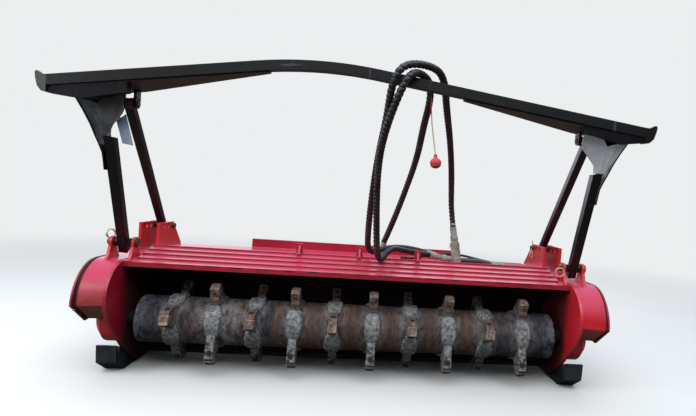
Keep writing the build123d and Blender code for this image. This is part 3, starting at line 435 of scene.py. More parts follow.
class Shape:
    # collects vertices and faces of several lumps that become one mesh

    def __init__(self):
        self.verts = []
        self.faces = []

    def rings(self, loops):
        # skin over loops of equally many points, closed at both ends
        start, count = len(self.verts), len(loops[0])
        last = start + (len(loops) - 1) * count
        for row in range(start, last, count):
            for i in range(count):
                j = (i + 1) % count
                self.faces.append([row + i, row + j, row + count + j, row + count + i])
        self.faces.append(list(range(start, start + count))[::-1])
        self.faces.append(list(range(last, last + count)))
        self.verts += [Vector(v) for loop in loops for v in loop]

    def turned(self, start, end, profile, sides=24):
        # round piece from start towards end; profile holds (distance in mm, radius in mm)
        axis = (end - start).normalized()
        across = axis.cross(zAxis if abs(axis.z) < 0.9 else yAxis).normalized()
        self.rings([circle(start + axis * distance / 1000, across, axis.cross(across), radius / 1000, sides)
                    for distance, radius in profile])

    def hexBolt(self, foot, direction, radius, height):
        self.turned(foot, foot + direction, [(0, radius * 1.28), (1.2, radius * 1.28), (1.3, radius),
                                             (height - 1, radius), (height, radius * 0.9)], 6)

    def block(self, middle, across, ahead, half, bevel, jitter=0.0, dish=0.0):
        # bevelled block; half sizes in mm along across, ahead and their normal; dish hollows the far face
        up = across.cross(ahead)
        a, b, c = half
        levels = [(-c, bevel), (bevel - c, 0.0), (c - bevel, 0.0), (c, bevel)]
        if dish:
            levels.append((c - dish, min(a, b) * 0.45))
        loops = []
        for height, inset in levels:
            wide, deep = a - inset, b - inset
            corner = min(bevel, wide * 0.4, deep * 0.4)
            loop = []
            for x, y in ((wide, deep - corner), (wide - corner, deep), (corner - wide, deep), (-wide, deep - corner),
                         (-wide, corner - deep), (corner - wide, -deep), (wide - corner, -deep),
                         (wide, corner - deep)):
                shake = [dice.uniform(-jitter, jitter) for _ in range(3)]
                loop.append(middle + (across * (x + shake[0]) + ahead * (y + shake[1])
                                      + up * (height + min(0.0, shake[2]))) / 1000)
            loops.append(loop)
        self.rings(loops)

    def bead(self, corners, radius):
        # weld bead: a lumpy tube along the corners
        spots = evenPoints(corners, 0.004)
        loops = []
        for i, (point, (across, other)) in enumerate(zip(spots, frames(spots))):
            swell = radius / 1000 * (1.0 + 0.22 * math.sin(i * 2.1) + dice.uniform(-0.15, 0.15))
            loops.append(circle(point, across, other, swell, 6))
        self.rings(loops)

    def tube(self, points, radius, sides=12):
        self.rings([circle(point, across, other, radius, sides)
                    for point, (across, other) in zip(points, frames(points))])


def evenPoints(corners, gap):
    # points along straight runs between the corners, at most gap apart
    spots = [corners[0]]
    for first, second in zip(corners, corners[1:]):
        count = max(1, round((second - first).length / gap))
        spots += [first.lerp(second, (k + 1) / count) for k in range(count)]
    return spots


def frames(points):
    # two cross axes at each point of a line, turned as little as possible
    result = []
    across = None
    for i, point in enumerate(points):
        ahead = (points[min(i + 1, len(points) - 1)] - points[max(i - 1, 0)]).normalized()
        if across is None:
            across = ahead.cross(zAxis if abs(ahead.z) < 0.9 else yAxis).normalized()
        across = (across - ahead * across.dot(ahead)).normalized()
        result.append((across, ahead.cross(across)))
    return result


# Hoses and cords: the routes' points in mm from the rotor's axis
routes = {
    "return_hose": [
        (345, 352, 306), (262, 305, 331), (140, 232, 336), (44, 160, 300), (38, 44, 448), (46, -90, 644),
        (56, -230, 758), (72, -360, 866), (77, -468, 976), (118, -478, 1040), (232, -406, 1052), (276, -345, 1020),
        (306, -235, 942), (351, -100, 843), (395, 60, 728), (436, 250, 618), (448, 292, 545), (466, 302, 452)],
    "pressure_hose": [
        (352, 288, 303), (232, 215, 322), (146, 108, 348), (87, -8, 274), (66, -90, 490), (54, -240, 699),
        (67, -380, 817), (111, -473, 958), (148, -470, 1018), (218, -372, 1014), (230, -328, 950), (224, -210, 868),
        (223, -60, 752), (190, 80, 596), (155, 180, 461), (123, 250, 359)],
    "front_motor_hose": [(520, 385, 270), (575, 392, 270), (625, 378, 272), (662, 345, 269), (690, 318, 266)],
    "rear_motor_hose": [(400, 388, 290), (440, 410, 276), (520, 432, 270), (600, 430, 270), (660, 405, 270),
                        (696, 380, 266)],
    "drain_hose": [(742, 396, 264), (700, 430, 268), (640, 462, 276), (560, 486, 290), (470, 470, 296),
                   (390, 412, 290), (310, 388, 276), (262, 372, 268)],
    "cap_lanyard": [(222, -411, 959.6), (223, -407, 912), (232, -398, 855), (243, -388, 800), (256, -381, 742)],
}


def routeCurve(name, thickness):
    data = bpy.data.curves.new(name, "CURVE")
    data.dimensions = "3D"
    data.resolution_u = 16
    spline = data.splines.new("NURBS")
    spots = [at(*p) for p in routes[name]]
    spline.points.add(len(spots) - 1)
    for point, spot in zip(spline.points, spots):
        point.co = (spot.x, spot.y, spot.z, 1.0)
    spline.order_u = 3
    spline.use_endpoint_u = True
    data.bevel_depth = thickness / 2000
    data.bevel_resolution = 5
    data.use_fill_caps = True
    made = bpy.data.objects.new(name, data)
    bpy.context.scene.collection.objects.link(made)
    return made


def routePoints(name, gap):
    # even points along the route's own smooth line
    curve = routeCurve(name, 0.0)
    mesh = bpy.data.meshes.new_from_object(curve)
    raw = [v.co.copy() for v in mesh.vertices]
    bpy.data.meshes.remove(mesh)
    data = curve.data
    bpy.data.objects.remove(curve)
    bpy.data.curves.remove(data)
    steps = [0.0]
    for a, b in zip(raw, raw[1:]):
        steps.append(steps[-1] + (b - a).length)
    count = max(2, round(steps[-1] / gap))
    spots, index = [], 0
    for k in range(count + 1):
        want = steps[-1] * k / count
        while index < len(steps) - 2 and steps[index + 1] < want:
            index += 1
        share = (want - steps[index]) / max(1e-9, steps[index + 1] - steps[index])
        spots.append(raw[index].lerp(raw[index + 1], min(1.0, share)))
    return spots, steps[-1]


# Spiral guard of the two long hoses, in mm
guard = {"pitch": 19.0, "groove": 3.4, "radius": 13.9, "sides": 20, "gap": 2.1}


def guardedHose(name, body):
    # hose in its spiral guard: a groove winds round it
    spots, length = routePoints(name, guard["gap"] / 1000)
    loops = []
    sides = guard["sides"]
    for i, (spot, (across, other)) in enumerate(zip(spots, frames(spots))):
        along = length * 1000 * i / (len(spots) - 1)
        ends = min(1.0, along / 30, (length * 1000 - along) / 30)
        loop = []
        for k in range(sides):
            a = 2 * math.pi * k / sides
            turn = (a / (2 * math.pi) - along / guard["pitch"]) % 1.0
            dip = max(0.0, 1.0 - min(turn, 1.0 - turn) / 0.26) ** 1.5
            swell = 0.35 * math.sin(along / 90.0 + 2.0)
            radius = guard["radius"] + swell - guard["groove"] * dip * ends
            loop.append(spot + (across * math.cos(a) + other * math.sin(a)) * radius / 1000)
        loops.append(loop)
    shape = Shape()
    shape.rings(loops)
    made = newMesh(name + "_guard", shape, "hose", body)
    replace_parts(made, name)
    return made, spots, length


def plainHose(name, thickness, coat, slot, body):
    made = routeCurve(name, thickness)
    made.name = name + "_cover"
    made.data.materials.append(coats[coat])
    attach(made, body)
    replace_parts(made, name)
    spots, length = routePoints(name, 0.004)
    return made, spots, length


returnHose, returnSpots, returnLength = guardedHose("return_hose", "housing")
pressureHose, pressureSpots, pressureLength = guardedHose("pressure_hose", "housing")
smallHose = ("smallHose", "hose_rubber", "housing")
frontMotorHose, frontMotorSpots, frontMotorLength = plainHose("front_motor_hose", 25, *smallHose)
rearMotorHose, rearMotorSpots, rearMotorLength = plainHose("rear_motor_hose", 25, *smallHose)
drainHose, drainSpots, drainLength = plainHose("drain_hose", 13, *smallHose)
lanyard, lanyardSpots, lanyardLength = plainHose("cap_lanyard", 5, "yarn", "pale_cord", "push_frame")
print("hose lengths:", [round(n, 3) for n in (returnLength, pressureLength, frontMotorLength, rearMotorLength,
                                              drainLength, lanyardLength)])

# Dust cap: a soft round cap with a rim and a neck on its cord
capTop = at(256, -381, 742)
capShape = Shape()
capProfile = [(-3, 4.0), (0, 6.5), (9, 7.0), (12, 9.0), (15, 14.5), (20, 18.6), (26, 20.4), (31, 20.5), (35, 19.2),
              (36.5, 18.6), (38, 19.4), (42, 17.0), (46, 12.0), (48.4, 5.0), (48.9, 1.0)]
capShape.turned(capTop, capTop + Vector((0.08, 0.0, -1.0)), capProfile, 32)
dustCap = newMesh("dust_cap_form", capShape, "cap", "push_frame")
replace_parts(dustCap, "dust_cap")

# Rotor: worn teeth with their bolts, and the welds round the holders' feet
rotor = {"stations": 10, "evenAngle": 12.0, "oddAngle": 64.0, "toothHalf": (18.4, 18.9, 19.4),
         "toothMiddle": 161.6, "footMiddle": 71.0, "footRadius": 100.5, "nutReach": 150, "nutTurn": 42.5}
footPlan = [(-16, -58), (-24, -46), (-29, -22), (-29, 20), (-20, 58), (20, 58), (29, 20), (29, -22), (24, -46),
            (16, -58), (-16, -58)]
teeth, boltHeads, nuts, feet = Shape(), Shape(), Shape(), Shape()


def onArm(x, angle, side, reach, turn):
    # a point of an arm: side along X, reach from the axis, turn towards the ramp
    a = math.radians(angle)
    return at(x + side, -reach * math.cos(a) + turn * math.sin(a), reach * math.sin(a) + turn * math.cos(a))


for station in range(rotor["stations"]):
    stationX = (station - (rotor["stations"] - 1) / 2) * stationPitch
    first = rotor["evenAngle"] if station % 2 == 0 else rotor["oddAngle"]
    for arm in range(3):
        angle = first + 120 * arm
        here = onArm(stationX, angle, 0, 0, 0)
        outward = (onArm(stationX, angle, 0, 1000, 0) - here).normalized()
        rampward = (onArm(stationX, angle, 0, 0, 1000) - here).normalized()
        side = rampward.cross(outward)
        middle = onArm(stationX, angle, 0, rotor["toothMiddle"], 0)
        teeth.block(middle, side, rampward, rotor["toothHalf"], 2.6, 0.9, 1.8)
        boltHeads.hexBolt(onArm(stationX, angle, 0, 160, -17.6), -rampward, 7.6, 5.0)
        slope = (outward * 0.385 + rampward * 0.923).normalized()
        seat = onArm(stationX, angle, 0, rotor["nutReach"], rotor["nutTurn"])
        nuts.turned(seat, seat + slope, [(0, 12.0), (2.6, 11.6), (3.2, 10.8), (3.2, 8.4), (0.6, 8.2)], 20)
        nuts.hexBolt(seat + slope * 0.0006, slope, 6.2, 5.6)
        rim = []
        for planX, planY in footPlan:
            radius = rotor["footRadius"]
            mid = math.radians(rotor["footMiddle"])
            height = math.sqrt(radius * radius - planY * planY)
            rim.append(onArm(stationX, angle, planX, planY * math.sin(mid) + height * math.cos(mid),
                             height * math.sin(mid) - planY * math.cos(mid)))
        feet.bead(evenPoints(rim, 0.012), 4.6)
teethForm = newMesh("cutting_teeth_worn", teeth, "tooth", "rotor", False)
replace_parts(teethForm, "cutting_teeth")
newMesh("tooth_bolts", boltHeads, "pin", "rotor", False)
newMesh("holder_nuts", nuts, "recessShade", "rotor", False)
newMesh("holder_welds", feet, "holder", "rotor")
print("rotor pieces made")

# Pins of the front ears with their ring clips
pins = {"radius": 12.5, "head": 19.5, "frontX": 952, "front": (-40, 318), "rear": (400, 361)}


def ring(shape, middle, axis, radius, wire, turns=2.0):
    # split ring of the given radius in mm, wound a little more than its turns
    across = axis.cross(zAxis if abs(axis.z) < 0.9 else xAxis).normalized()
    other = axis.cross(across)
    count = int(turns * 28)
    spots = []
    for i in range(count + 3):
        a = 2 * math.pi * i / 28
        spots.append(middle + (across * math.cos(a) + other * math.sin(a)) * radius / 1000
                     + axis * (i / 28 - turns / 2) * wire * 2.1 / 1000)
    shape.tube(spots, wire / 1000, 8)


def headedPin(shape, start, end):
    span = (end - start).length * 1000
    shape.turned(start, end, [(0, 9.5), (3, pins["radius"]), (span - 8, pins["radius"]), (span - 8, 18.2),
                              (span - 6.8, pins["head"]), (span - 1.6, pins["head"]), (span, 17.6)], 28)


pinForms, clips = Shape(), Shape()
for sign in (1, -1):
    middle = sign * pins["frontX"]
    headedPin(pinForms, at(middle - 63, *pins["front"]), at(middle + 57, *pins["front"]))
ring(clips, at(889, -60, 300), Vector((-0.35, -0.92, 0.1)).normalized(), 18.5, 2.5)
ring(clips, at(-1006, -38, 350), Vector((0.8, -0.6, 0.1)).normalized(), 17.5, 2.2)
clips.tube(evenPoints([at(-1008, -38, 332), at(-1008, -40, 300)], 0.01), 0.0026, 8)
clips.tube(evenPoints([at(896, -42, 334), at(896, -40, 302)], 0.01), 0.0026, 8)
pinForm = newMesh("front_pin_forms", pinForms, "pin", "housing", False)
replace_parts(pinForm, "front_pins")

rearForms = Shape()
for sign in (-1, 1):
    rearForms.turned(at(sign * 908, *pins["rear"]), at(sign * 936, *pins["rear"]), [(0, 9.5), (3, 12.5), (28, 12.5)])
    rearForms.turned(at(sign * 1005, *pins["rear"]), at(sign * 1025, *pins["rear"]),
                     [(0, 12.5), (12, 12.5), (12, 18.4), (13.4, 19.5), (18.4, 19.5), (20, 17.5)])
hairpin = [at(914, 398, 400), at(917, 396, 384), at(913, 392, 366), at(909, 388, 346), at(904, 386, 332),
           at(903, 385, 320), at(907, 384, 311), at(913, 384, 309), at(917, 384, 316), at(917, 385, 332),
           at(913, 387, 347)]
clips.tube(hairpin, 0.0024, 8)
rearForm = newMesh("rear_pin_forms", rearForms, "pin", "housing", False)
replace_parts(rearForm, "rear_pins")
newMesh("pin_clips", clips, "clip", "housing")
print("pins made")

# Front ears: tongues with round tops and flared feet
earProfile = [(-100, 246), (-88, 258), (-76, 276), (-67, 300)]
earProfile += [(-40 - 26 * math.cos(math.radians(a)), 316 + 26 * math.sin(math.radians(a))) for a in range(-5, 186, 15)]
earProfile += [(-13, 300), (-6, 276), (6, 258), (18, 246)]
ears = Shape()
for sign in (-1, 1):
    for low, high in ((903, 915), (989, 1001)):
        loops = []
        for x, inset in ((low, 1.2), (low + 1.2, 0.0), (high - 1.2, 0.0), (high, 1.2)):
            loops.append([at(sign * x, y + (inset if y < -40 else -inset), z - (inset if z > 300 else 0))
                          for y, z in earProfile])
        ears.rings(loops)
earMesh = newMesh("front_ear_forms", ears, "ear", "housing", False)
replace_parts(earMesh, "front_ears")

# Bearing housings: round, tapered towards a flat cap
for sign, side in ((-1, "left"), (1, "right")):
    housing = Shape()
    housing.turned(at(sign * 934, 0, 0), at(sign * 1032, 0, 0),
                   [(0, 97.0), (1, 98), (68, 98), (71, 96.6), (94, 69), (96, 66), (97, 64), (97, 36), (93.5, 34),
                    (93.5, 12), (95, 10)], 56)
    housingMesh = newMesh("bearing_housing_" + side + "_form", housing, "ear", "housing", False)
    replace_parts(housingMesh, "bearing_housing_" + side)

# Legs: square tubes, slimmer than their plain CAD forms, as the photograph shows them
legLook = {"frontHalf": 18.0, "rearHalf": 16.0, "corner": 4.0, "rows": 24, "frontFoot": 954,
           "frontTop": (891, -328, 719), "rearFoot": 971, "rearTop": {-1: 855, 1: 868}, "upperPin": (-280, 850),
           "eyeX": 860, "eyeFoot": 970.5}


def legTube(shape, start, end, half, level=None):
    # square tube with rounded corners and slightly uneven sides; level is the height of a flat upper cut
    ahead = (end - start).normalized()
    across = (xAxis - ahead * ahead.x).normalized()
    other = ahead.cross(across)
    corner = legLook["corner"]
    section = []
    for k, (signX, signY) in enumerate(((1, 1), (-1, 1), (-1, -1), (1, -1))):
        for step in range(4):
            a = math.pi / 2 * (k + step / 3)
            section.append((signX * (half - corner) + corner * math.cos(a),
                            signY * (half - corner) + corner * math.sin(a)))
    length = (end - start).length
    count = legLook["rows"]
    loops = []
    for i in range(count + 1):
        middle = start + ahead * length * i / count
        swell = 1.0 + 0.012 * noise.noise(middle * 9.0)
        loop = [middle + (across * x + other * y) * swell / 1000 for x, y in section]
        if i == count and level is not None:
            loop = [p + ahead * ((level - p.z) / ahead.z) for p in loop]
        loops.append(loop)
    shape.rings(loops)


for sign, side in ((-1, "left"), (1, "right")):
    topX, topY, topZ = legLook["frontTop"]
    foot, top = at(sign * legLook["frontFoot"], *pins["front"]), at(sign * topX, topY, topZ)
    ahead = (top - foot).normalized()
    frontLeg = Shape()
    legTube(frontLeg, foot - ahead * 0.044, top - ahead * 0.004, legLook["frontHalf"], top.z)
    frontLeg.turned(at(sign * 953 - 33, *pins["front"]), at(sign * 953 + 33, *pins["front"]),
                    [(0, 14), (1, 17), (14, 17.5), (52, 17.5), (65, 17), (66, 14)], 28)
    frontMesh = newMesh("front_leg_" + side + "_form", frontLeg, "leg", "push_frame", False)
    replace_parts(frontMesh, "front_leg_" + side)
    foot, top = at(sign * legLook["rearFoot"], *pins["rear"]), at(sign * legLook["rearTop"][sign], *legLook["upperPin"])
    ahead = (top - foot).normalized()
    rearLeg, eye = Shape(), Shape()
    legTube(rearLeg, foot + ahead * 0.004, top + ahead * 0.006, legLook["rearHalf"])
    footX, eyeX = sign * legLook["eyeFoot"], sign * legLook["eyeX"]
    rearLeg.turned(at(footX - 29, *pins["rear"]), at(footX + 29, *pins["rear"]),
                   [(0, 14), (1, 17), (57, 17), (58, 14)], 28)
    eye.turned(at(eyeX - 22, *legLook["upperPin"]), at(eyeX + 22, *legLook["upperPin"]),
               [(0, 16), (1.5, 19.5), (12, 19.5), (14, 18.2), (30, 18.2), (32, 19.5), (42.5, 19.5), (44, 16)], 28)
    body = "rear_leg_" + side
    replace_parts(newMesh(body + "_form", rearLeg, "leg", body, False), body)
    newMesh(body + "_eye", eye, "rustPin", body, False)
print("legs made")

# Wings: folded sheets with their torn feet, and the flanges that run down the outside of the front legs
wings = {
    -1: {"outer": [(912, -384, 825), (941, -397, 834), (972, -402, 838), (962, -390, 815), (953, -376, 790),
                   (940, -362, 755), (931, -350, 722), (925, -336, 694), (916, -334, 690), (906, -336, 694),
                   (905, -351, 720)],
         "inner": [(912, -384, 825), (905, -351, 720), (893, -350, 725), (882, -350, 722), (882, -350, 746),
                   (875, -351, 763), (860, -352, 783), (846, -352, 804), (841, -352, 818), (846, -352, 834),
                   (844, -355, 866), (880, -370, 860), (904, -380, 848)]},
    1: {"outer": [(900, -384, 825), (930, -396, 834), (968, -402, 838), (954, -386, 806), (940, -370, 772),
                  (927, -357, 742), (917, -350, 719), (906, -350, 717), (896, -351, 720)],
        "inner": [(900, -384, 825), (896, -351, 720), (884, -350, 724), (872, -350, 721), (870, -350, 752),
                  (860, -350, 766), (843, -351, 785), (828, -352, 802), (820, -352, 812), (817, -352, 833),
                  (822, -354, 866), (866, -368, 860), (890, -378, 848)]},
}
flange = [(977, -402, 838), (960, -385, 800), (944, -366, 757), (935, -351, 722), (927, -334, 690),
          (924, -316, 664), (928, -298, 640), (936, -270, 604)]
for sign, side in ((-1, "left"), (1, "right")):
    wing = Shape()
    for half in ("outer", "inner"):
        face = [at(sign * x, y, z) for x, y, z in wings[sign][half]]
        wing.rings([face, [p + Vector((0, 0.006, 0)) for p in face]])
    wingMesh = newMesh("wing_" + side + "_form", wing, "wingLeft" if sign < 0 else "wingRight",
                       "push_frame", False)
    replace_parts(wingMesh, "wing_bracket_" + side)
    edge = Shape()
    slim = 0.0 if sign < 0 else -5.0
    edge.rings([[at(sign * (x + slim), y, z), at(sign * (x + slim - 6), y, z), at(sign * (x + slim - 6), y + 36, z),
                 at(sign * (x + slim), y + 36, z)] for x, y, z in flange])
    newMesh("wing_" + side + "_flange", edge, "leg", "push_frame", False)
print("wings made")

# Couplers and fittings of the hoses
sleeves, nutsZinc, bodies, ties = Shape(), Shape(), Shape(), Shape()
top, low = at(466, 302, 452), at(501, 322, 272)
axis = (low - top).normalized()
sleeves.turned(top, low, [(0, 13.0), (1.5, 15.4), (20, 15.7), (22, 15.0), (26, 15.0), (28, 15.7), (46, 15.7),
                          (49, 14.0)], 28)
nutsZinc.turned(top, low, [(49, 17.6), (50.5, 19.4), (70, 19.4), (72, 17.2)], 6)
for start, stop in ((85, 112), (121, 148), (157, 173), (178, 184)):
    bodies.turned(top, low, [(start, 22.2), (start + 1.2, 23.4), (stop - 1.2, 23.4), (stop, 22.2)], 32)
ring(ties, top + axis * 0.077, axis, 17.4, 1.9, 2.4)
ring(ties, top - axis * 0.014, axis, 13.6, 1.7, 2.0)
tail = [top + axis * down + Vector((aside, -ahead, 0.0))
        for down, aside, ahead in ((0.079, -0.0175, 0.004), (0.092, -0.026, 0.01), (0.112, -0.031, 0.012))]
ties.tube(evenPoints(tail, 0.006), 0.0017, 8)
newMesh("return_coupler_sleeve", sleeves, "sleeve", "housing")
newMesh("return_coupler_nut", nutsZinc, "zinc", "housing", False)
newMesh("return_coupler_body", bodies, "zinc", "housing", False)
newMesh("return_coupler_tie", ties, "tie", "housing")

top, low = at(123, 250, 359), at(110, 275, 270)
slim = Shape()
slim.turned(top, low, [(0, 12.6), (1.5, 14.2), (26, 14.3), (29, 12.6), (30, 12.6)], 26)
slim.turned(top, low, [(30, 14.4), (31.2, 15.6), (43, 15.6), (44.5, 14.0)], 6)
slim.turned(top, low, [(44, 13.2), (46, 15.4), (64, 15.7), (65.5, 13.8), (69, 13.8), (70.5, 15.7), (88, 15.8),
                       (92, 15.8), (93, 13.6)], 26)
pressureCoupler = newMesh("pressure_coupler_form", slim, "sleeve", "housing", False)
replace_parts(pressureCoupler, "pressure_coupler")

fittings = Shape()
for start, end in ((at(352, 288, 303), at(520, 385, 270)), (at(345, 352, 306), at(400, 388, 290))):
    span = (end - start).length * 1000
    reach = 42.0 if span > 150 else span / 2 - 9
    for first, second in ((start, end), (end, start)):
        fittings.turned(first, second, [(1, 15.2), (2, 16.4), (reach * 0.4, 16.6), (reach * 0.45, 15.9),
                                        (reach * 0.6, 15.9), (reach * 0.65, 16.6), (reach - 2, 16.6), (reach, 15.2)],
                        26)
    if span > 150:
        for spot in (reach + 6, span / 2 - 12, span - reach - 20):
            fittings.turned(start, end, [(spot, 15.4), (spot + 1.4, 16.8), (spot + 13, 16.8), (spot + 14.4, 15.4)],
                            6)
    else:
        fittings.turned(start, end, [(reach, 15.8), (reach + 1.2, 17.6), (span - reach - 1.2, 17.6),
                                     (span - reach, 15.8)], 6)
newMesh("hose_adaptor_rings", fittings, "zinc", "housing", False)

elbows = Shape()
# each port's place, the height of its hose, the hose's end and the fitting's radius
ports = ((716, 292, 266, 690, 318, 13.0), (726, 358, 266, 696, 380, 13.0), (768, 376, 264, 742, 396, 8.0))
for x, y, z, endX, endY, radius in ports:
    outgoing = Vector((endX - x, endY - y, 0.0)).normalized()
    bend = [at(x, y, 230), at(x, y, z - 14)]
    for k in range(1, 7):
        a = math.pi / 2 * k / 6
        bend.append(at(x, y, z - 14) + (outgoing * (1 - math.cos(a)) + zAxis * math.sin(a)) * 0.014)
    bend.append(at(endX, endY, z))
    elbows.tube(bend, radius * 0.86 / 1000, 20)
    elbows.turned(at(x, y, 230), at(x, y, 260), [(0, radius + 2.5), (1.4, radius + 4), (12, radius + 4),
                                                 (13.4, radius + 2.5)], 6)
    elbows.turned(at(endX, endY, z), at(x, y, z), [(0, radius - 0.5), (1.2, radius + 2), (15, radius + 2),
                                                   (17, radius)], 24)
elbowForm = newMesh("port_elbow_forms", elbows, "zinc", "housing", False)
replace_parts(elbowForm, "port_elbows")

small = Shape()
drainEnd = at(262, 372, 268)
drainWay = Vector((-48, -16, 0)).normalized()
small.turned(drainEnd, drainEnd + drainWay, [(0, 6.8), (1.2, 9.2), (14, 9.4), (16, 8.2)], 22)
small.turned(drainEnd + drainWay * 0.015, drainEnd + drainWay * 0.04,
             [(0, 11.2), (1.2, 12.8), (12, 12.9), (13, 11.4), (15.5, 11.4), (16.5, 12.9), (27, 12.9), (28.6, 10.5)], 24)
drainCoupler = newMesh("drain_coupler_form", small, "darkSteel", "housing", False)
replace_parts(drainCoupler, "drain_coupler")
print("couplers made")

# Motor under the rear deck: cast body with an end cap, bolts and port bosses
motor = {"low": (250, 40), "high": (440, 214), "corner": 34.0,
         "sections": [(684, 26), (690, 16), (712, 16), (714, 30), (736, 30), (738, 8), (768, 8), (770, 24), (880, 24),
                      (882, 2), (924, 2)]}
motorForm = Shape()
corner = motor["corner"]
loops = []
for x, inset in motor["sections"]:
    y0, z0 = [edge + inset + corner for edge in motor["low"]]
    y1, z1 = [edge - inset - corner for edge in motor["high"]]
    loop = []
    for begin, (y, z) in enumerate(((y1, z1), (y0, z1), (y0, z0), (y1, z0))):
        for k in range(7):
            a = math.pi / 2 * (begin + k / 6)
            loop.append(at(x, y + corner * math.cos(a), z + corner * math.sin(a)))
    loops.append(loop)
motorForm.rings(loops)
for y, z in ((290, 80), (400, 80), (290, 174), (400, 174)):
    motorForm.hexBolt(at(691, y, z), -xAxis, 11.0, 7.0)
for x, y, *_ in ports:
    motorForm.turned(at(x, y, 190), at(x, y, 230), [(0, 22), (30, 22), (34, 19), (40, 18.6)], 26)
motorMesh = newMesh("hydraulic_motor_form", motorForm, "darkSteel", "housing", False)
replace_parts(motorMesh, "hydraulic_motor")

# Painted shade: very dark strips in the gaps between the stitches along the lip, and the welds of the red housing
slitShades = Shape()
for k in range(-8, 9):
    slitShadeX = k * 100 + 20 + dice.uniform(-6, 6)
    slitShades.block(at(slitShadeX, -108.2, 246.8), xAxis, zAxis, (dice.uniform(20, 34), 2.0, 1.0), 0.4)
newMesh("lip_slit_shade", slitShades, "slitShade", "housing", False)

redWelds = Shape()
for sign in (-1, 1):
    for face in (924, 936, 1005, 1017):
        redWelds.bead([at(sign * face, 208, 254), at(sign * face, 530, 254)], 3.4)
    for face in (903, 915):
        redWelds.bead([at(sign * face, -72, 254), at(sign * face, -8, 254)], 3.0)
    redWelds.bead([at(sign * 890, -108, 251.5), at(sign * 890, 90, 254)], 2.6)
for x in (-264, 4, 270):
    redWelds.bead([at(x - 1, 54, 298), at(x - 1, 90, 298)], 2.4)
    redWelds.bead([at(x + 9, 54, 298), at(x + 9, 90, 298)], 2.4)
redWelds.bead([at(-571, 588, 254), at(571, 588, 254)], 3.6)
redWelds.bead([at(-905, 103, 254), at(905, 103, 254)], 3.0)
newMesh("housing_welds", redWelds, "ear", "housing")
print("housing trim made")

# Bolts of the left rim's nose and the bearing caps, and a small fitting below the middle of each cap
bolts = Shape()
for y, z in ((-190, 71), (-148, 47)):
    bolts.hexBolt(at(-1051, y, z), Vector((0, -0.57, -0.82)), 5.4, 7.0)
for sign in (-1, 1):
    for k in range(6):
        a = math.radians(60 * k + 30)
        bolts.hexBolt(at(sign * 1031, 50 * math.cos(a), 50 * math.sin(a)), xAxis * sign, 6.5, 5.0)
    bolts.turned(at(sign * 1031, 0, -24), at(sign * 1041, 0, -24),
                 [(0, 4.5), (4, 4.5), (5, 3.0), (8, 3.4), (9, 2.0)], 12)
newMesh("housing_bolts", bolts, "clip", "housing", False)

# Push frame: welds in black paint and the blank strip that hangs behind the left wing
blackWelds = Shape()
for sign in (-1, 1):
    blackWelds.bead([at(sign * 878, -352, 721), at(sign * 905, -354, 721)], 3.0)
    for face in (825, 834, 886, 895):
        blackWelds.bead([at(sign * face, -298, 868), at(sign * face, -264, 868)], 2.6)
newMesh("push_frame_welds", blackWelds, "leg", "push_frame")
stripForm = Shape()
front = [at(-875, -327, 778), at(-845, -325, 804), at(-815, -325, 696), at(-850, -327, 700)]
stripForm.rings([front, [p + Vector((0, 0.002, 0)) for p in front]])
stripForm.turned(at(-858, -345, 786), at(-858, -320, 786), [(0, 4.0), (19, 4.0), (19.1, 6.5), (24, 6.5)], 12)
newMesh("blank_strip", stripForm, "tag", "push_frame", False)
print("push frame trim made")

# Camera at the photograph's place
lens = {"place": (0.0018, -2.3076, 0.7974), "focal": 503.0, "middleX": 410.0, "width": 696.0, "film": 36.0,
        "right": (0.99300892, -0.09436339, 0.07091426), "up": (-0.06858222, 0.02773523, 0.99725986)}
camData = bpy.data.cameras.new("camera")
camera = bpy.data.objects.new("camera", camData)
bpy.context.scene.collection.objects.link(camera)
bpy.context.scene.camera = camera
camData.sensor_width = lens["film"]
camData.lens = lens["focal"] * lens["film"] / lens["width"]
camData.shift_x = (lens["width"] / 2 - lens["middleX"]) / lens["width"]
camData.clip_start = 0.05
camData.clip_end = 100.0
right, up = Vector(lens["right"]), Vector(lens["up"])
camera.matrix_world = Matrix.Translation(lens["place"]) @ Matrix((right, up, right.cross(up))).transposed().to_4x4()

# Floor, soft lamps and a pale room
floorMesh = bpy.data.meshes.new("floor")
floorMesh.from_pydata([(-30, -30, 0), (30, -30, 0), (30, 30, 0), (-30, 30, 0)], [], [[0, 1, 2, 3]])
floor = bpy.data.objects.new("floor", floorMesh)
bpy.context.scene.collection.objects.link(floor)
ground = Coat("floor_pale")
near = ground.shade(ground.mix(ground.cloud(1.5, 3, 0.5), tint("#dadcdc"), tint("#e0e2e2")), 0.9, bevel=0.0)
far = ground.node("ShaderNodeEmission", None, {0: tint("#eceeef"), 1: 1.0})
dim = ground.node("ShaderNodeBsdfDiffuse", None, {0: tint("#5b5f58")})
away = ground.node("ShaderNodeVectorMath", {"operation": "LENGTH"}, {0: ground.place}, 1).step(2.4, 6.5)
lit = ground.node("ShaderNodeMixShader", None, {0: away, 1: near, 2: far})
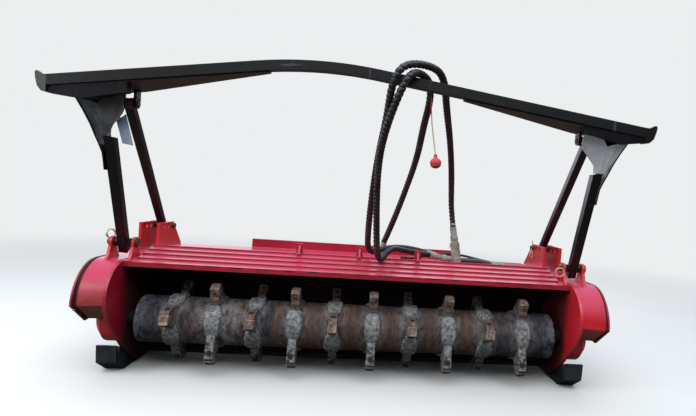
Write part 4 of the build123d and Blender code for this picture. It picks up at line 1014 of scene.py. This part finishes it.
# what isn't seen by the camera gets a darker floor, so that the undersides stay dark
seen = ground.node("ShaderNodeLightPath")
floorMesh.materials.append(ground.finish(ground.node("ShaderNodeMixShader", None, {0: seen, 1: dim, 2: lit})))


def softLamp(name, place, target, size, power, colour=(1.0, 1.0, 1.0)):
    data = bpy.data.lights.new(name, "AREA")
    data.shape = "RECTANGLE"
    data.size, data.size_y = size
    data.energy = power
    data.color = colour
    lamp = bpy.data.objects.new(name, data)
    bpy.context.scene.collection.objects.link(lamp)
    lamp.location = place
    lamp.rotation_euler = (Vector(target) - Vector(place)).to_track_quat("-Z", "Y").to_euler()


# powers in W; the left one lights the inner faces of the right side
softLamp("lamp_above", (0.0, -2.9, 3.9), (0, 0, 0.4), (6.0, 3.0), 172.0, (0.97, 0.985, 1.0))
softLamp("lamp_top", (0.0, 0.6, 4.4), (0, 0, 0.3), (5.0, 3.0), 45.0)
softLamp("lamp_left", (-3.6, -1.6, 1.7), (0.3, 0, 0.6), (2.6, 1.8), 72.0)
softLamp("lamp_back", (1.5, 3.8, 3.0), (0, 0, 0.4), (3.0, 2.0), 40.0)

world = bpy.data.worlds.new("room")
bpy.context.scene.world = world
room = Coat("room", world)
direction = room.node("ShaderNodeTexCoord", out="Generated")
rise = room.node("ShaderNodeMapRange", None, {0: room.part(direction, "Z"), 1: 0.12, 2: 0.75, 3: 0.07, 4: 0.88})
# a brighter stretch of the room behind the left side, mirrored by the inner faces of the right legs
toward = room.node("ShaderNodeVectorMath", {"operation": "DOT_PRODUCT"}, {0: direction, 1: (-0.47, 0.86, 0.2)}, 1)
glow = toward.step(0.88, 0.985) * 1.6
ambient = room.node("ShaderNodeBackground", None, {"Color": tint("#dfe6ee"), "Strength": rise + glow})
shown = room.node("ShaderNodeBackground", None, {"Color": tint("#eceeef"), "Strength": 1.0})
seen = room.node("ShaderNodeLightPath")
room.finish(room.node("ShaderNodeMixShader", None, {0: seen, 1: ambient, 2: shown}), "ShaderNodeOutputWorld")
bpy.context.scene.view_settings.view_transform = "Standard"
print("camera and lamps set")
